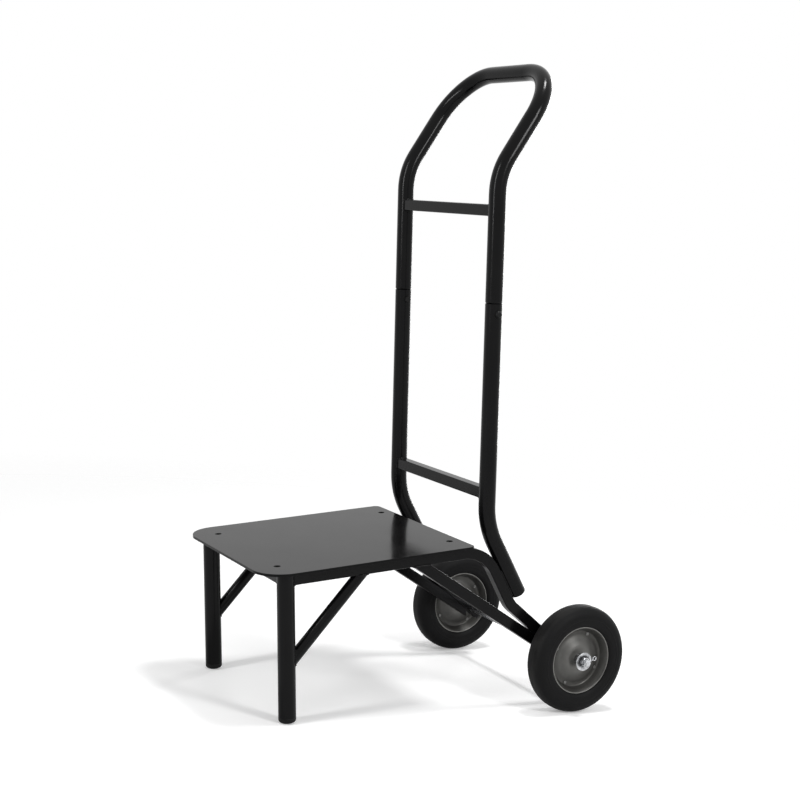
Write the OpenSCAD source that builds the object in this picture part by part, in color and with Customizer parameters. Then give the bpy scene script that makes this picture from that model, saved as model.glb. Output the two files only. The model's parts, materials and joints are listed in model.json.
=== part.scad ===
// Trolley for a stack of chairs: a flat load plate on a welded tube frame,
// two front legs, two wheels behind, and a tall bent handle in two bolted lengths.
// The frame is laid out level, with the feet at zero height and the axle at zero
// depth, and is then leaned forward until the feet and the wheels share one floor.
// Front is -Y, up is +Z, left is -X and right is +X.

/* [Load plate] */
// How far the plate reaches past the tube centres at each side
plate_side_overhang = 22; // [16:0.5:40]
// Depth of the plate, front to rear
plate_depth = 415; // [395:1:440]
// Thickness of the plate
plate_thickness = 4.6; // [4.2:0.1:8]
// Height of the plate's top above the feet, with the frame level
plate_height = 268; // [250:1:300]
// How far the plate reaches ahead of the legs
plate_overhang = 46.3; // [30:0.1:70]
// Radius of the two front corners
plate_front_corner = 55; // [10:1:90]
// Radius of the two rear corners
plate_rear_corner = 10; // [2:1:40]
// Distance from a tube's centre in to the nearest plate screw
screw_inset = 33.5; // [26:0.5:60]
// Diameter of a plate screw's head
screw_head_diameter = 12; // [8:0.5:14]
// Height of a plate screw's countersunk head
screw_head_height = 2.6; // [1.5:0.1:3]
// Depth of a screw's head below the plate's top
screw_sink = 0.9; // [0.1:0.1:1]
// Diameter of a plate screw's shank
screw_diameter = 5; // [3:0.5:6]
// Reach of a plate screw below the wall that holds it
screw_reach = 5; // [2:0.5:9]

/* [Frame] */
// Distance between the left and right tube centres
frame_width = 323; // [300:1:340]
// Distance from the axle forward to the legs
wheelbase = 574.3; // [545:0.1:600]
// Height of the axle above the feet, with the frame level
axle_height = 33; // [25:0.5:45]
// Diameter of the legs, uprights and handle
tube_diameter = 31; // [26:0.5:36]
// Wall of the legs, uprights and handle
tube_wall = 1.8; // [1.2:0.1:3]
// Outside size of the square bars
bar_size = 20.5; // [16:0.5:25]
// Wall of the square bars
bar_wall = 1.8; // [1.2:0.1:3]
// Outside corner radius of the square bars
bar_corner = 2.6; // [1:0.1:4]
// Diameter of the two leg braces
brace_diameter = 21.5; // [16:0.5:26]
// Wall of the leg braces
brace_wall = 1.6; // [1:0.1:3]
// Height at which a brace meets its leg's centre line
brace_height = 98.5; // [70:0.5:130]
// Angle of a brace above level
brace_angle = 45; // [35:1:55]

/* [Side rails] */
// Distance ahead of the axle where a rail turns down
rail_bend_setback = 175.9; // [165:0.1:190]
// Slope of a rail's drop behind the plate, below level
rail_drop_angle = 62.9; // [56:0.1:70]
// Slope of a rail's tail as it reaches the axle, below level
rail_tail_angle = 42.5; // [38:0.1:47]
// Centre-line radius of the bend under the plate's rear edge
rail_upper_radius = 76; // [50:1:85]
// Centre-line radius of the bend above the axle
rail_lower_radius = 50; // [35:1:70]
// Length of a rail's tail past the axle
rail_end = 24; // [18:0.5:36]
// Distance ahead of the axle where a strut meets its rail
strut_setback = 310; // [280:1:340]
// How far below the axle a strut's line passes
strut_drop = 13.3; // [11.5:0.1:16]
// Gap along the level from a strut's end to the axle
strut_end = 14; // [8:0.5:24]

/* [Uprights and handle] */
// Height of the corner where an upright turns rearward
upright_bend_height = 298.6; // [285:0.1:320]
// Rearward rake of the uprights
upright_rake = 1.55; // [0:0.05:4]
// Centre-line radius of the bend at the foot of an upright
upright_bend_radius = 145; // [100:1:170]
// Length of an upright below that corner
upright_tail = 151.3; // [140:0.1:158]
// Length of an upright above that corner, up to the joint
upright_length = 403.5; // [360:0.5:450]
// Height of the lower crossbar above the corner
lower_crossbar_height = 58.6; // [50:0.1:90]
// Height of the upper crossbar above the joint
upper_crossbar_height = 164.4; // [120:0.1:180]
// Height of the handle's bend above the joint
handle_rise = 229.2; // [215:0.1:260]
// Rearward turn of the handle at that bend
handle_turn = 34.45; // [25:0.05:45]
// Centre-line radius of that bend
handle_bend_radius = 115; // [80:1:130]
// Distance from that bend up to the grip bar
handle_reach = 223.3; // [200:0.1:250]
// Centre-line radius of the grip's two corners
grip_radius = 100; // [70:1:120]
// Open height of the neck at the joint
joint_neck = 3; // [1:0.1:6]
// Length of the handle's end inside an upright
swage_length = 58; // [40:1:80]
// Distance of the joint's bolt below the joint
joint_bolt_drop = 18; // [12:0.5:26]
// Diameter of the joint's bolt
joint_bolt_diameter = 6.4; // [4:0.1:9]
// Diameter of the bolt's head and of the nut across its corners
joint_head_diameter = 12.6; // [9.5:0.1:16]
// Height of the bolt's head and of the nut
joint_head_height = 4.4; // [2:0.1:7]

/* [Wheels] */
// Diameter of the tyres
tyre_diameter = 203.2; // [190:0.1:216]
// Width of the tyres
tyre_width = 46; // [42:0.5:54]
// Radius of a tyre's shoulders
tyre_shoulder = 19; // [12:0.5:20.5]
// Radius of a tyre's lower corners
tyre_heel = 9; // [4:0.5:12]
// Radius of the rim's rolled lip
rim_lip_radius = 62.7; // [58:0.1:68]
// Distance of the lip from the wheel's middle plane
rim_lip_offset = 15.7; // [12:0.1:17.5]
// Radius of the roll along the lip
rim_roll = 1.9; // [1.2:0.1:2.5]
// Thickness of the rim's sheet
rim_sheet = 1.6; // [1:0.1:2.2]
// Outer radius of the flat seam where the rim's halves meet
rim_seam_outer = 54.5; // [50:0.1:56]
// Inner radius of that seam
rim_seam_inner = 46; // [40:0.1:47]
// Radius of the raised flat round the hub
rim_dish_radius = 25; // [19:0.5:30]
// Distance of that flat from the wheel's middle plane
rim_dish_offset = 9.5; // [5:0.1:14]
// Diameter of the rivets through the seam
rivet_diameter = 4.4; // [3:0.1:5]
// Diameter of the rivets' heads
rivet_head_diameter = 6.4; // [5.6:0.1:6.8]
// Height of the rivets' heads
rivet_head_height = 1.5; // [0.8:0.1:2.5]
// Number of rivets in a rim
rivet_count = 4; // [3:1:8]
// Turn of the first rivet round the axle
rivet_turn = 60; // [0:5:90]

/* [Axle and hubs] */
// Diameter of the axle
axle_diameter = 12.7; // [10:0.1:14]
// Length of a hub, end to end
hub_length = 44; // [38:0.5:50]
// Outside diameter of a hub
hub_diameter = 24; // [22:0.5:30]
// Outside diameter of a bush inside the hub
bush_diameter = 18; // [16:0.5:20]
// Depth of a bush inside the hub
bush_depth = 15; // [8:0.5:18]
// Thickness of a bush's flange
bush_flange = 2; // [1:0.1:3]
// Running clearance round the axle
running_clearance = 0.06; // [0.02:0.01:0.1]
// Side play at each end of a hub
side_play = 0.35; // [0.3:0.05:1]
// Length of the spacers between the rails and the wheels
spacer_length = 14.4; // [10:0.1:30]
// Diameter of those spacers
spacer_diameter = 20; // [17:0.5:26]
// Diameter of the washers outside the wheels
washer_diameter = 34.9; // [24:0.1:38]
// Thickness of those washers
washer_thickness = 2; // [1:0.1:4]
// Width of an axle nut across its flats
nut_width = 19; // [17:0.5:24]
// Thickness of an axle nut
nut_thickness = 7.5; // [5:0.5:12]
// Length of the axle beyond a nut
axle_end = 5.5; // [5:0.1:10]
// Diameter of the split pins
pin_diameter = 2.4; // [1.6:0.1:3]
// Distance from the axle's centre to the middle of a split pin's eye
pin_reach = 18; // [16:0.5:24]
// Turn of the split pins from upright toward the rear
pin_turn = 68; // [0:1:90]

/* [Plugs and feet] */
// Height of a foot below its leg
foot_height = 9; // [6:0.5:16]
// Edge radius of a foot
foot_edge = 5; // [2:0.5:8]
// Length of a plug or foot inside its tube
plug_depth = 18; // [8:1:30]
// Height of a plug's head
plug_head = 4.2; // [2:0.1:6]
// Edge radius of a plug's head
plug_edge = 3.4; // [1:0.1:4]

/* [Hidden] */
$fn = 64;
// Depth by which a cut runs past the face it opens
overrun = 1;
// Loss of wall on each face of a tube round a bend
bend_thinning = 0.05;
// Depth by which a bend's wall runs into the straight tube at its ends
bend_lap = 0.4;
// Clearance round a screw or bolt in its hole
hole_clearance = 0.15;
// Closest that a weld bead reaches to the line where the tube meets the bar
bead_start = 3.5;
// Length of a weld bead
bead_length = 56;
// Share of a screw head's width and of its height that its drive recess takes
recess_width_share = 0.5;
recess_depth_share = 0.6;
// Share of a bolt head's width left flat on top
crown_share = 0.55;
// Share of a split pin's eye taken by its hole, and share of its leg past the axle
pin_eye_share = 1.5;
pin_leg_share = 0.45;

tube_radius = tube_diameter / 2;
tube_bore = tube_diameter - 2 * tube_wall;
half_frame = frame_width / 2;
tyre_radius = tyre_diameter / 2;
plate_under = plate_height - plate_thickness;
rail_z = plate_under - bar_size / 2;
rail_bottom = plate_under - bar_size;
plate_front = wheelbase + plate_overhang;
plate_width = frame_width + 2 * plate_side_overhang;
screw_x = half_frame - screw_inset;
screw_top = plate_height - screw_sink;
screw_seat = screw_top - screw_head_height;
rear_bar_y = -(plate_front - plate_depth) - bar_size - tube_wall;

// Corners of a side rail in the level frame, as [depth, height]
axle_point = [0, axle_height];
drop_way = [cos(rail_drop_angle), -sin(rail_drop_angle)];
tail_way = [cos(rail_tail_angle), -sin(rail_tail_angle)];
rail_corner = [-rail_bend_setback, rail_z];
drop_length = cross(axle_point - rail_corner, tail_way) / cross(drop_way, tail_way);
tail_corner = rail_corner + drop_length * drop_way;
tail_length = norm(axle_point - tail_corner);
rail_upper_tangent = rail_upper_radius * tan(rail_drop_angle / 2);
rail_lower_turn = rail_drop_angle - rail_tail_angle;
rail_lower_tangent = rail_lower_radius * tan(rail_lower_turn / 2);

// Corner at the foot of an upright, whose tail lies along the back of the rail's drop
drop_side = [sin(rail_drop_angle), cos(rail_drop_angle)];
tail_gap = drop_side * rail_corner + bar_size / 2 + tube_radius;
foot_corner_y = (tail_gap - drop_side[1] * upright_bend_height) / drop_side[0];
foot_corner = [foot_corner_y, upright_bend_height];
upright_turn = 90 - rail_drop_angle + upright_rake;
upright_tangent = upright_bend_radius * tan(upright_turn / 2);
handle_tangent = handle_bend_radius * tan(handle_turn / 2);

// Line of a strut in the level frame
strut_start = [-strut_setback, rail_bottom];
strut_finish = [0, axle_height - strut_drop];
strut_slope = atan2(strut_start[1] - strut_finish[1], strut_setback);
strut_span = norm(strut_finish - strut_start);

// Hub and axle stations, measured outward from a wheel's middle plane
hub_half = hub_length / 2;
hub_face = hub_half + bush_flange;
washer_start = hub_face + side_play;
nut_start = washer_start + washer_thickness;
track = frame_width + bar_size + 2 * (spacer_length + washer_start);
axle_half = track / 2 + nut_start + nut_thickness + axle_end;
pin_x = axle_half - axle_end / 2;

// Forward lean that brings the edge of the feet and the wheels onto one floor
foot_flat = tube_radius - foot_edge;
toe_point = [-wheelbase - foot_flat, foot_edge];
toe_reach = norm(axle_point - toe_point);
toe_rise = atan2(axle_point[1] - toe_point[1], axle_point[0] - toe_point[0]);
lean = asin((tyre_radius - foot_edge) / toe_reach) - toe_rise;
floor_drop = axle_height * cos(lean) - tyre_radius;
front_limit = -plate_front * cos(lean) - plate_height * sin(lean);
rear_limit = -axle_height * sin(lean) + tyre_radius;

powder_black = [0.07, 0.07, 0.075];
plate_black = [0.14, 0.14, 0.145];
plastic_black = [0.05, 0.05, 0.05];
rubber_black = [0.12, 0.12, 0.12];
rim_grey = [0.34, 0.34, 0.32];
zinc = [0.78, 0.79, 0.8];

// Leans the level frame onto the floor, with its base centred on the origin
module stand() {
    translate([0, -(front_limit + rear_limit) / 2, -floor_drop])
        rotate([lean, 0, 0])
            children();
}

// Upright frame: origin at the bend's corner, Z up along the raked tube
module at_upright(side) {
    translate([side * half_frame, foot_corner[0], foot_corner[1]])
        rotate([-upright_rake, 0, 0])
            children();
}

// Upright tail frame: Z runs down along the tail from the same corner
module at_tail(side) {
    translate([side * half_frame, foot_corner[0], foot_corner[1]])
        rotate([-90 - rail_drop_angle, 0, 0])
            children();
}

// Rail tail frame: origin on the axle, Y along the tail toward its end
module at_rail_tail(side) {
    translate([side * half_frame, axle_point[0], axle_point[1]])
        rotate([-rail_tail_angle, 0, 0])
            children();
}

// Wheel frame: origin at the hub's middle, Z outward along the axle
module at_wheel(side) {
    translate([side * track / 2, axle_point[0], axle_point[1]])
        rotate([0, side * 90, 0])
            children();
}

// Bent run along Z of a tube's profile, then of its thinner profile round the bends:
// each step is [length, turn toward +Y, radius, roll before the turn]
module run(steps, index = 0) {
    step = steps[index];
    way = step[1] < 0 ? -1 : 1;
    linear_extrude(step[0])
        children(0);
    if (step[1] != 0) {
        lap_angle = atan(bend_lap / step[2]);
        translate([0, 0, step[0]])
            rotate([0, 0, step[3]])
                mirror([0, way < 0 ? 1 : 0, 0])
                    translate([0, step[2], 0])
                        rotate([90, 0, -90])
                            rotate([0, 0, -lap_angle])
                                rotate_extrude(angle = abs(step[1]) + 2 * lap_angle)
                                    translate([step[2], 0])
                                        rotate(90)
                                            children(1);
    }
    if (index + 1 < len(steps))
        translate([0, 0, step[0]])
            rotate([0, 0, step[3]])
                translate([0, way * step[2], 0])
                    rotate([-step[1], 0, 0])
                        translate([0, -way * step[2], 0])
                            run(steps, index + 1) {
                                children(0);
                                children(1);
                            }
}

module round_tube(diameter, wall, thinning = 0) {
    difference() {
        circle(d = diameter - 2 * thinning);
        circle(d = diameter - 2 * (wall - thinning));
    }
}

module rounded_square(size, corner) {
    square([size, size - 2 * corner], center = true);
    square([size - 2 * corner, size], center = true);
    for (x = [-1, 1], y = [-1, 1])
        translate([x * (size / 2 - corner), y * (size / 2 - corner)])
            circle(r = corner);
}

module square_tube(thinning = 0) {
    difference() {
        rounded_square(bar_size - 2 * thinning, bar_corner - thinning);
        square(bar_size - 2 * (bar_wall - thinning), center = true);
    }
}

// Square tube lying along X, centred on the origin
module cross_tube(length) {
    translate([-length / 2, 0, 0])
        rotate([90, 0, 90])
            linear_extrude(length)
                square_tube();
}

// Cylinder lying along X from the origin
module along_x(length, diameter) {
    rotate([0, 90, 0])
        cylinder(h = length, d = diameter);
}

// Solid of revolution with a rounded far edge, its flat at the origin
module button(diameter, height, edge) {
    rotate_extrude()
        union() {
            square([diameter / 2, height - edge]);
            square([diameter / 2 - edge, height]);
            intersection() {
                translate([diameter / 2 - edge, height - edge])
                    circle(r = edge);
                square([diameter / 2, height]);
            }
        }
}

module leg_solid(side) {
    translate([side * half_frame, -wheelbase, foot_height])
        cylinder(h = plate_under - foot_height, d = tube_diameter);
}

// The space that a leg takes out of the bars and braces that meet it
module leg_cut(side) {
    translate([side * half_frame, -wheelbase, foot_height - overrun])
        cylinder(h = plate_under - foot_height + 2 * overrun, d = tube_diameter);
}

module upright_solid(side, length) {
    at_upright(side)
        cylinder(h = length, d = tube_diameter);
}

module plate_outline() {
    front = -plate_front;
    rear = front + plate_depth;
    half = plate_width / 2;
    translate([-half, front + plate_front_corner])
        square([plate_width, plate_depth - plate_front_corner - plate_rear_corner]);
    translate([-half + plate_front_corner, front])
        square([plate_width - 2 * plate_front_corner, plate_depth - plate_rear_corner]);
    translate([-half + plate_rear_corner, front + plate_front_corner])
        square([plate_width - 2 * plate_rear_corner, plate_depth - plate_front_corner]);
    for (side = [-1, 1]) {
        translate([side * (half - plate_front_corner), front + plate_front_corner])
            circle(r = plate_front_corner);
        translate([side * (half - plate_rear_corner), rear - plate_rear_corner])
            circle(r = plate_rear_corner);
    }
}

// Countersunk holes for the screws, from inside the cross rails up through the plate
module screw_holes() {
    hole = screw_diameter / 2 + hole_clearance;
    sink = screw_head_diameter / 2 + hole_clearance;
    for (side = [-1, 1], y = [-wheelbase, rear_bar_y])
        translate([side * screw_x, y, 0])
            rotate_extrude()
                polygon([
                    [0, rail_z],
                    [hole, rail_z],
                    [hole, screw_seat],
                    [sink, screw_top],
                    [sink, plate_height + overrun],
                    [0, plate_height + overrun]
                ]);
}

module load_plate() {
    color(plate_black)
        stand()
            difference() {
                translate([0, 0, plate_under])
                    linear_extrude(plate_thickness)
                        plate_outline();
                screw_holes();
            }
}

module plate_screw(side, y) {
    shank = screw_diameter / 2;
    tip = plate_under - bar_wall - screw_reach;
    color(plastic_black)
        stand()
            translate([side * screw_x, y, 0])
                difference() {
                    rotate_extrude()
                        polygon([
                            [0, tip],
                            [shank, tip],
                            [shank, screw_seat],
                            [screw_head_diameter / 2, screw_top],
                            [0, screw_top]
                        ]);
                    translate([0, 0, screw_top - screw_head_height * recess_depth_share])
                        cylinder(h = screw_head_height, d = screw_head_diameter * recess_width_share, $fn = 6);
                }
}

module side_rail(side) {
    color(powder_black)
        stand()
            difference() {
                translate([side * half_frame, -wheelbase, rail_z])
                    rotate([-90, 0, 0])
                        run([
                            [wheelbase - rail_bend_setback - rail_upper_tangent, rail_drop_angle, rail_upper_radius, 0],
                            [drop_length - rail_upper_tangent - rail_lower_tangent, -rail_lower_turn, rail_lower_radius, 0],
                            [tail_length - rail_lower_tangent + rail_end, 0, 0, 0]
                        ]) {
                            square_tube();
                            square_tube(bend_thinning);
                        }
                leg_cut(side);
                translate([side * half_frame - bar_size, axle_point[0], axle_point[1]])
                    along_x(2 * bar_size, axle_diameter);
            }
}

module front_cross_rail() {
    color(powder_black)
        stand()
            difference() {
                translate([0, -wheelbase, rail_z])
                    cross_tube(frame_width);
                leg_cut(-1);
                leg_cut(1);
                screw_holes();
            }
}

module rear_cross_rail() {
    color(powder_black)
        stand()
            difference() {
                translate([0, rear_bar_y, rail_z])
                    cross_tube(frame_width - bar_size);
                screw_holes();
            }
}

module front_leg(side) {
    color(powder_black)
        stand()
            difference() {
                leg_solid(side);
                translate([side * half_frame, -wheelbase, foot_height - overrun])
                    cylinder(h = plate_under, d = tube_bore);
            }
}

module leg_foot(side) {
    color(plastic_black)
        stand()
            translate([side * half_frame, -wheelbase, foot_height]) {
                rotate([180, 0, 0])
                    button(tube_diameter, foot_height, foot_edge);
                cylinder(h = plug_depth, d = tube_bore);
            }
}

module leg_brace(side) {
    reach = (rail_bottom - brace_height) / sin(brace_angle) + brace_diameter;
    color(powder_black)
        stand()
            difference() {
                translate([side * half_frame, -wheelbase, brace_height])
                    rotate([brace_angle - 90, 0, 0])
                        linear_extrude(reach)
                            round_tube(brace_diameter, brace_wall);
                leg_cut(side);
                translate([side * half_frame - brace_diameter, -wheelbase, rail_bottom])
                    cube([2 * brace_diameter, wheelbase, plate_height]);
            }
}

module rear_strut(side) {
    color(powder_black)
        stand()
            difference() {
                translate([side * half_frame, strut_start[0], strut_start[1]])
                    rotate([-90 - strut_slope, 0, 0])
                        translate([0, 0, -2 * bar_size])
                            linear_extrude(strut_span + 2 * bar_size)
                                square_tube();
                translate([side * half_frame - bar_size, -wheelbase, rail_bottom])
                    cube([2 * bar_size, wheelbase, plate_height]);
                at_rail_tail(side)
                    translate([-bar_size, -strut_setback, -bar_size / 2])
                        cube([2 * bar_size, 2 * strut_setback, plate_height]);
                translate([side * half_frame - bar_size, -strut_end, -plate_height])
                    cube([2 * bar_size, wheelbase, 2 * plate_height]);
            }
}

module joint_hole() {
    translate([-tube_diameter, 0, upright_length - joint_bolt_drop])
        along_x(2 * tube_diameter, joint_bolt_diameter + 2 * hole_clearance);
}

module lower_upright(side) {
    color(powder_black)
        stand()
            at_upright(side)
                difference() {
                    translate([0, 0, upright_length])
                        rotate([180, 0, 0])
                            run([
                                [upright_length - upright_tangent, -upright_turn, upright_bend_radius, 0],
                                [upright_tail - upright_tangent, 0, 0, 0]
                            ]) {
                                round_tube(tube_diameter, tube_wall);
                                round_tube(tube_diameter, tube_wall, bend_thinning);
                            }
                    joint_hole();
                }
}

// Two beads, one each side of the line where the upright's tail lies on the rail
module upright_weld(side) {
    bead_end = bar_size / 2 - bar_corner;
    color(powder_black)
        stand()
            at_tail(side)
                difference() {
                    for (way = [-1, 1])
                        translate([way > 0 ? bead_start : -bead_end, 0, upright_tail - plug_edge - bead_length])
                            cube([bead_end - bead_start, tube_radius, bead_length]);
                    translate([0, 0, -overrun])
                        cylinder(h = upright_tail + 2 * overrun, d = tube_diameter);
                    translate([-bar_size, -tube_radius, 0])
                        cube([2 * bar_size, tube_radius, upright_tail]);
                }
}

module upright_plug(side) {
    color(plastic_black)
        stand()
            at_tail(side)
                translate([0, 0, upright_tail]) {
                    button(tube_diameter, plug_head, plug_edge);
                    translate([0, 0, -plug_depth])
                        cylinder(h = plug_depth, d = tube_bore);
                }
}

module rail_plug(side) {
    inside = bar_size - 2 * bar_wall;
    stem = rail_end - axle_diameter / 2 - bar_wall;
    color(plastic_black)
        stand()
            at_rail_tail(side)
                translate([0, rail_end, 0])
                    rotate([-90, 0, 0]) {
                        linear_extrude(bar_wall)
                            rounded_square(bar_size, bar_corner);
                        translate([-inside / 2, -inside / 2, -stem])
                            cube([inside, inside, stem]);
                    }
}

module lower_crossbar() {
    color(powder_black)
        stand()
            difference() {
                at_upright(0)
                    translate([0, 0, lower_crossbar_height])
                        cross_tube(frame_width);
                upright_solid(-1, upright_length);
                upright_solid(1, upright_length);
            }
}

module upper_crossbar() {
    color(powder_black)
        stand()
            difference() {
                at_upright(0)
                    translate([0, 0, upright_length + upper_crossbar_height])
                        cross_tube(frame_width);
                upright_solid(-1, upright_length + handle_rise);
                upright_solid(1, upright_length + handle_rise);
            }
}

// Reduced end of the handle that slips into an upright, opening out above a short neck
module swage() {
    bore = tube_bore / 2;
    inner = bore - tube_wall;
    start = upright_length - swage_length;
    top = upright_length + joint_neck;
    rotate_extrude()
        polygon([
            [inner, start],
            [bore, start],
            [bore, upright_length],
            [tube_radius - bend_thinning, top - bend_lap],
            [tube_radius - bend_thinning, top + bend_lap],
            [bore + bend_thinning, top + bend_lap],
            [bore + bend_thinning, top - bend_lap],
            [inner, upright_length]
        ]);
}

module handle_half() {
    at_upright(1)
        difference() {
            union() {
                swage();
                translate([0, 0, upright_length + joint_neck])
                    run([
                        [handle_rise - joint_neck - handle_tangent, handle_turn, handle_bend_radius, 0],
                        [handle_reach - handle_tangent - grip_radius, 90, grip_radius, 90]
                    ]) {
                        round_tube(tube_diameter, tube_wall);
                        round_tube(tube_diameter, tube_wall, bend_thinning);
                    }
            }
            joint_hole();
        }
}

module grip_bar() {
    half = half_frame - grip_radius;
    at_upright(0)
        translate([0, 0, upright_length + handle_rise])
            rotate([-handle_turn, 0, 0])
                translate([-half, 0, handle_reach])
                    rotate([0, 90, 0])
                        linear_extrude(2 * half)
                            round_tube(tube_diameter, tube_wall);
}

module handle() {
    color(powder_black)
        stand() {
            handle_half();
            mirror([1, 0, 0])
                handle_half();
            grip_bar();
        }
}

// Bolt along X with a domed head outside and a nut inside the tube's far wall
module joint_bolt(side) {
    color(powder_black)
        stand()
            at_upright(side)
                translate([0, 0, upright_length - joint_bolt_drop])
                    rotate([0, side * 90, 0]) {
                        translate([0, 0, tube_radius])
                            button(joint_head_diameter, joint_head_height, joint_head_height * crown_share);
                        translate([0, 0, -tube_radius - joint_head_height])
                            cylinder(h = tube_diameter + joint_head_height, d = joint_bolt_diameter);
                    }
}

module joint_nut(side) {
    color(powder_black)
        stand()
            at_upright(side)
                translate([0, 0, upright_length - joint_bolt_drop])
                    rotate([0, -side * 90, 0])
                        translate([0, 0, tube_radius])
                            difference() {
                                cylinder(h = joint_head_height, d = joint_head_diameter, $fn = 6);
                                translate([0, 0, -overrun])
                                    cylinder(h = joint_head_height + 2 * overrun, d = joint_bolt_diameter);
                            }
}

module pin_hole(side) {
    translate([side * pin_x, 0, 0])
        rotate([-pin_turn, 0, 0])
            translate([0, 0, -axle_diameter])
                cylinder(h = 2 * axle_diameter, d = pin_diameter);
}

module axle() {
    color(zinc)
        stand()
            translate([0, axle_point[0], axle_point[1]])
                difference() {
                    translate([-axle_half, 0, 0])
                        along_x(2 * axle_half, axle_diameter);
                    pin_hole(-1);
                    pin_hole(1);
                }
}

// Ring on the axle, from one station to another outward of a wheel's middle plane
module axle_ring(side, start, length, diameter, sides = $fn) {
    stand()
        at_wheel(side)
            translate([0, 0, start])
                difference() {
                    cylinder(h = length, d = diameter, $fn = sides);
                    translate([0, 0, -overrun])
                        cylinder(h = length + 2 * overrun, d = axle_diameter);
                }
}

module wheel_spacer(side) {
    color(zinc)
        axle_ring(side, -washer_start - spacer_length, spacer_length, spacer_diameter);
}

module wheel_washer(side) {
    color(zinc)
        axle_ring(side, washer_start, washer_thickness, washer_diameter);
}

module axle_nut(side) {
    color(zinc)
        axle_ring(side, nut_start, nut_thickness, nut_width / cos(30), 6);
}

module split_pin(side) {
    leg = axle_diameter * (1 / 2 + pin_leg_share);
    eye = pin_diameter * pin_eye_share;
    color(zinc)
        stand()
            translate([side * pin_x, axle_point[0], axle_point[1]])
                rotate([-pin_turn, 0, 0]) {
                    translate([0, 0, -leg])
                        cylinder(h = leg + pin_reach - eye, d = pin_diameter);
                    translate([0, 0, pin_reach])
                        rotate([0, 90, 0])
                            rotate_extrude()
                                translate([eye, 0])
                                    circle(d = pin_diameter);
                }
}

// Back face of a rim half, from the hub out to the lip, as [radius, distance outward]
rim_path = [
    [hub_diameter / 2, rim_dish_offset],
    [rim_dish_radius, rim_dish_offset],
    [rim_seam_inner, 0],
    [rim_seam_outer, 0],
    [rim_lip_radius, rim_lip_offset]
];

function unit(v) = v / norm(v);
function left_of(v) = [-v[1], v[0]];
function segment_side(path, i) = left_of(unit(path[i + 1] - path[i]));

// Point beside path[i] at a set thickness, with a mitre where two segments meet
function mitred(path, i, thickness) =
    i == 0 ? path[i] + thickness * segment_side(path, i) :
    i == len(path) - 1 ? path[i] + thickness * segment_side(path, i - 1) :
    let (a = segment_side(path, i - 1), b = segment_side(path, i))
        path[i] + thickness * (a + b) / (1 + a * b);

module lip_circle() {
    translate(rim_path[len(rim_path) - 1])
        circle(r = rim_roll);
}

module rim_section() {
    front = [for (i = [len(rim_path) - 1 : -1 : 0]) mitred(rim_path, i, rim_sheet)];
    polygon(concat(rim_path, front));
    lip_circle();
}

// Places the rivets on the middle of the seam's flat face
module at_rivets() {
    circle_radius = (mitred(rim_path, 2, rim_sheet)[0] + mitred(rim_path, 3, rim_sheet)[0]) / 2;
    for (i = [0 : rivet_count - 1])
        rotate(rivet_turn + 360 * i / rivet_count)
            translate([circle_radius, 0, 0])
                children();
}

module rim_half(side, facing) {
    color(rim_grey)
        stand()
            at_wheel(side)
                mirror([0, 0, facing < 0 ? 1 : 0])
                    difference() {
                        rotate_extrude()
                            rim_section();
                        at_rivets()
                            translate([0, 0, -overrun])
                                cylinder(h = rim_sheet + 2 * overrun, d = rivet_diameter);
                    }
}

module rim_rivets(side) {
    color(zinc)
        stand()
            at_wheel(side)
                at_rivets() {
                    translate([0, 0, -rim_sheet])
                        cylinder(h = 2 * rim_sheet, d = rivet_diameter);
                    for (way = [0, 1])
                        mirror([0, 0, way])
                            translate([0, 0, rim_sheet])
                                button(rivet_head_diameter, rivet_head_height, rivet_head_height * crown_share);
                }
}

// Cross-section of a tyre as [radius, distance from the middle plane]
module tyre_section() {
    seat = rim_lip_radius + rim_roll / 2;
    half = tyre_width / 2;
    heel_y = half - tyre_heel;
    shoulder_y = half - tyre_shoulder;
    difference() {
        union() {
            translate([seat + tyre_heel, -half])
                square([tyre_radius - tyre_shoulder - seat - tyre_heel, tyre_width]);
            translate([rim_seam_outer, -heel_y])
                square([tyre_radius - tyre_shoulder - rim_seam_outer, 2 * heel_y]);
            translate([seat + tyre_heel, -shoulder_y])
                square([tyre_radius - seat - tyre_heel, 2 * shoulder_y]);
            for (way = [0, 1])
                mirror([0, way]) {
                    intersection() {
                        translate([seat + tyre_heel, heel_y])
                            circle(r = tyre_heel);
                        translate([seat, 0])
                            square([tyre_heel, half]);
                    }
                    intersection() {
                        translate([tyre_radius - tyre_shoulder, shoulder_y])
                            circle(r = tyre_shoulder);
                        translate([tyre_radius - tyre_shoulder, 0])
                            square([tyre_shoulder, half]);
                    }
                }
        }
        for (way = [0, 1])
            mirror([0, way]) {
                polygon([
                    [rim_seam_outer - overrun, 0],
                    [rim_seam_outer, 0],
                    [rim_lip_radius, rim_lip_offset],
                    [rim_seam_outer - overrun, rim_lip_offset]
                ]);
                lip_circle();
            }
    }
}

module tyre(side) {
    color(rubber_black)
        stand()
            at_wheel(side)
                rotate_extrude()
                    tyre_section();
}

module hub(side) {
    color(zinc)
        stand()
            at_wheel(side)
                translate([0, 0, -hub_half])
                    linear_extrude(hub_length)
                        difference() {
                            circle(d = hub_diameter);
                            circle(d = bush_diameter);
                        }
}

module bush(side, facing) {
    bore = axle_diameter + 2 * running_clearance;
    color(plastic_black)
        stand()
            at_wheel(side)
                mirror([0, 0, facing < 0 ? 1 : 0])
                    difference() {
                        union() {
                            translate([0, 0, hub_half - bush_depth])
                                cylinder(h = bush_depth, d = bush_diameter);
                            translate([0, 0, hub_half])
                                cylinder(h = bush_flange, d = hub_diameter);
                        }
                        translate([0, 0, hub_half - bush_depth - overrun])
                            cylinder(h = bush_depth + bush_flange + 2 * overrun, d = bore);
                    }
}

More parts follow.
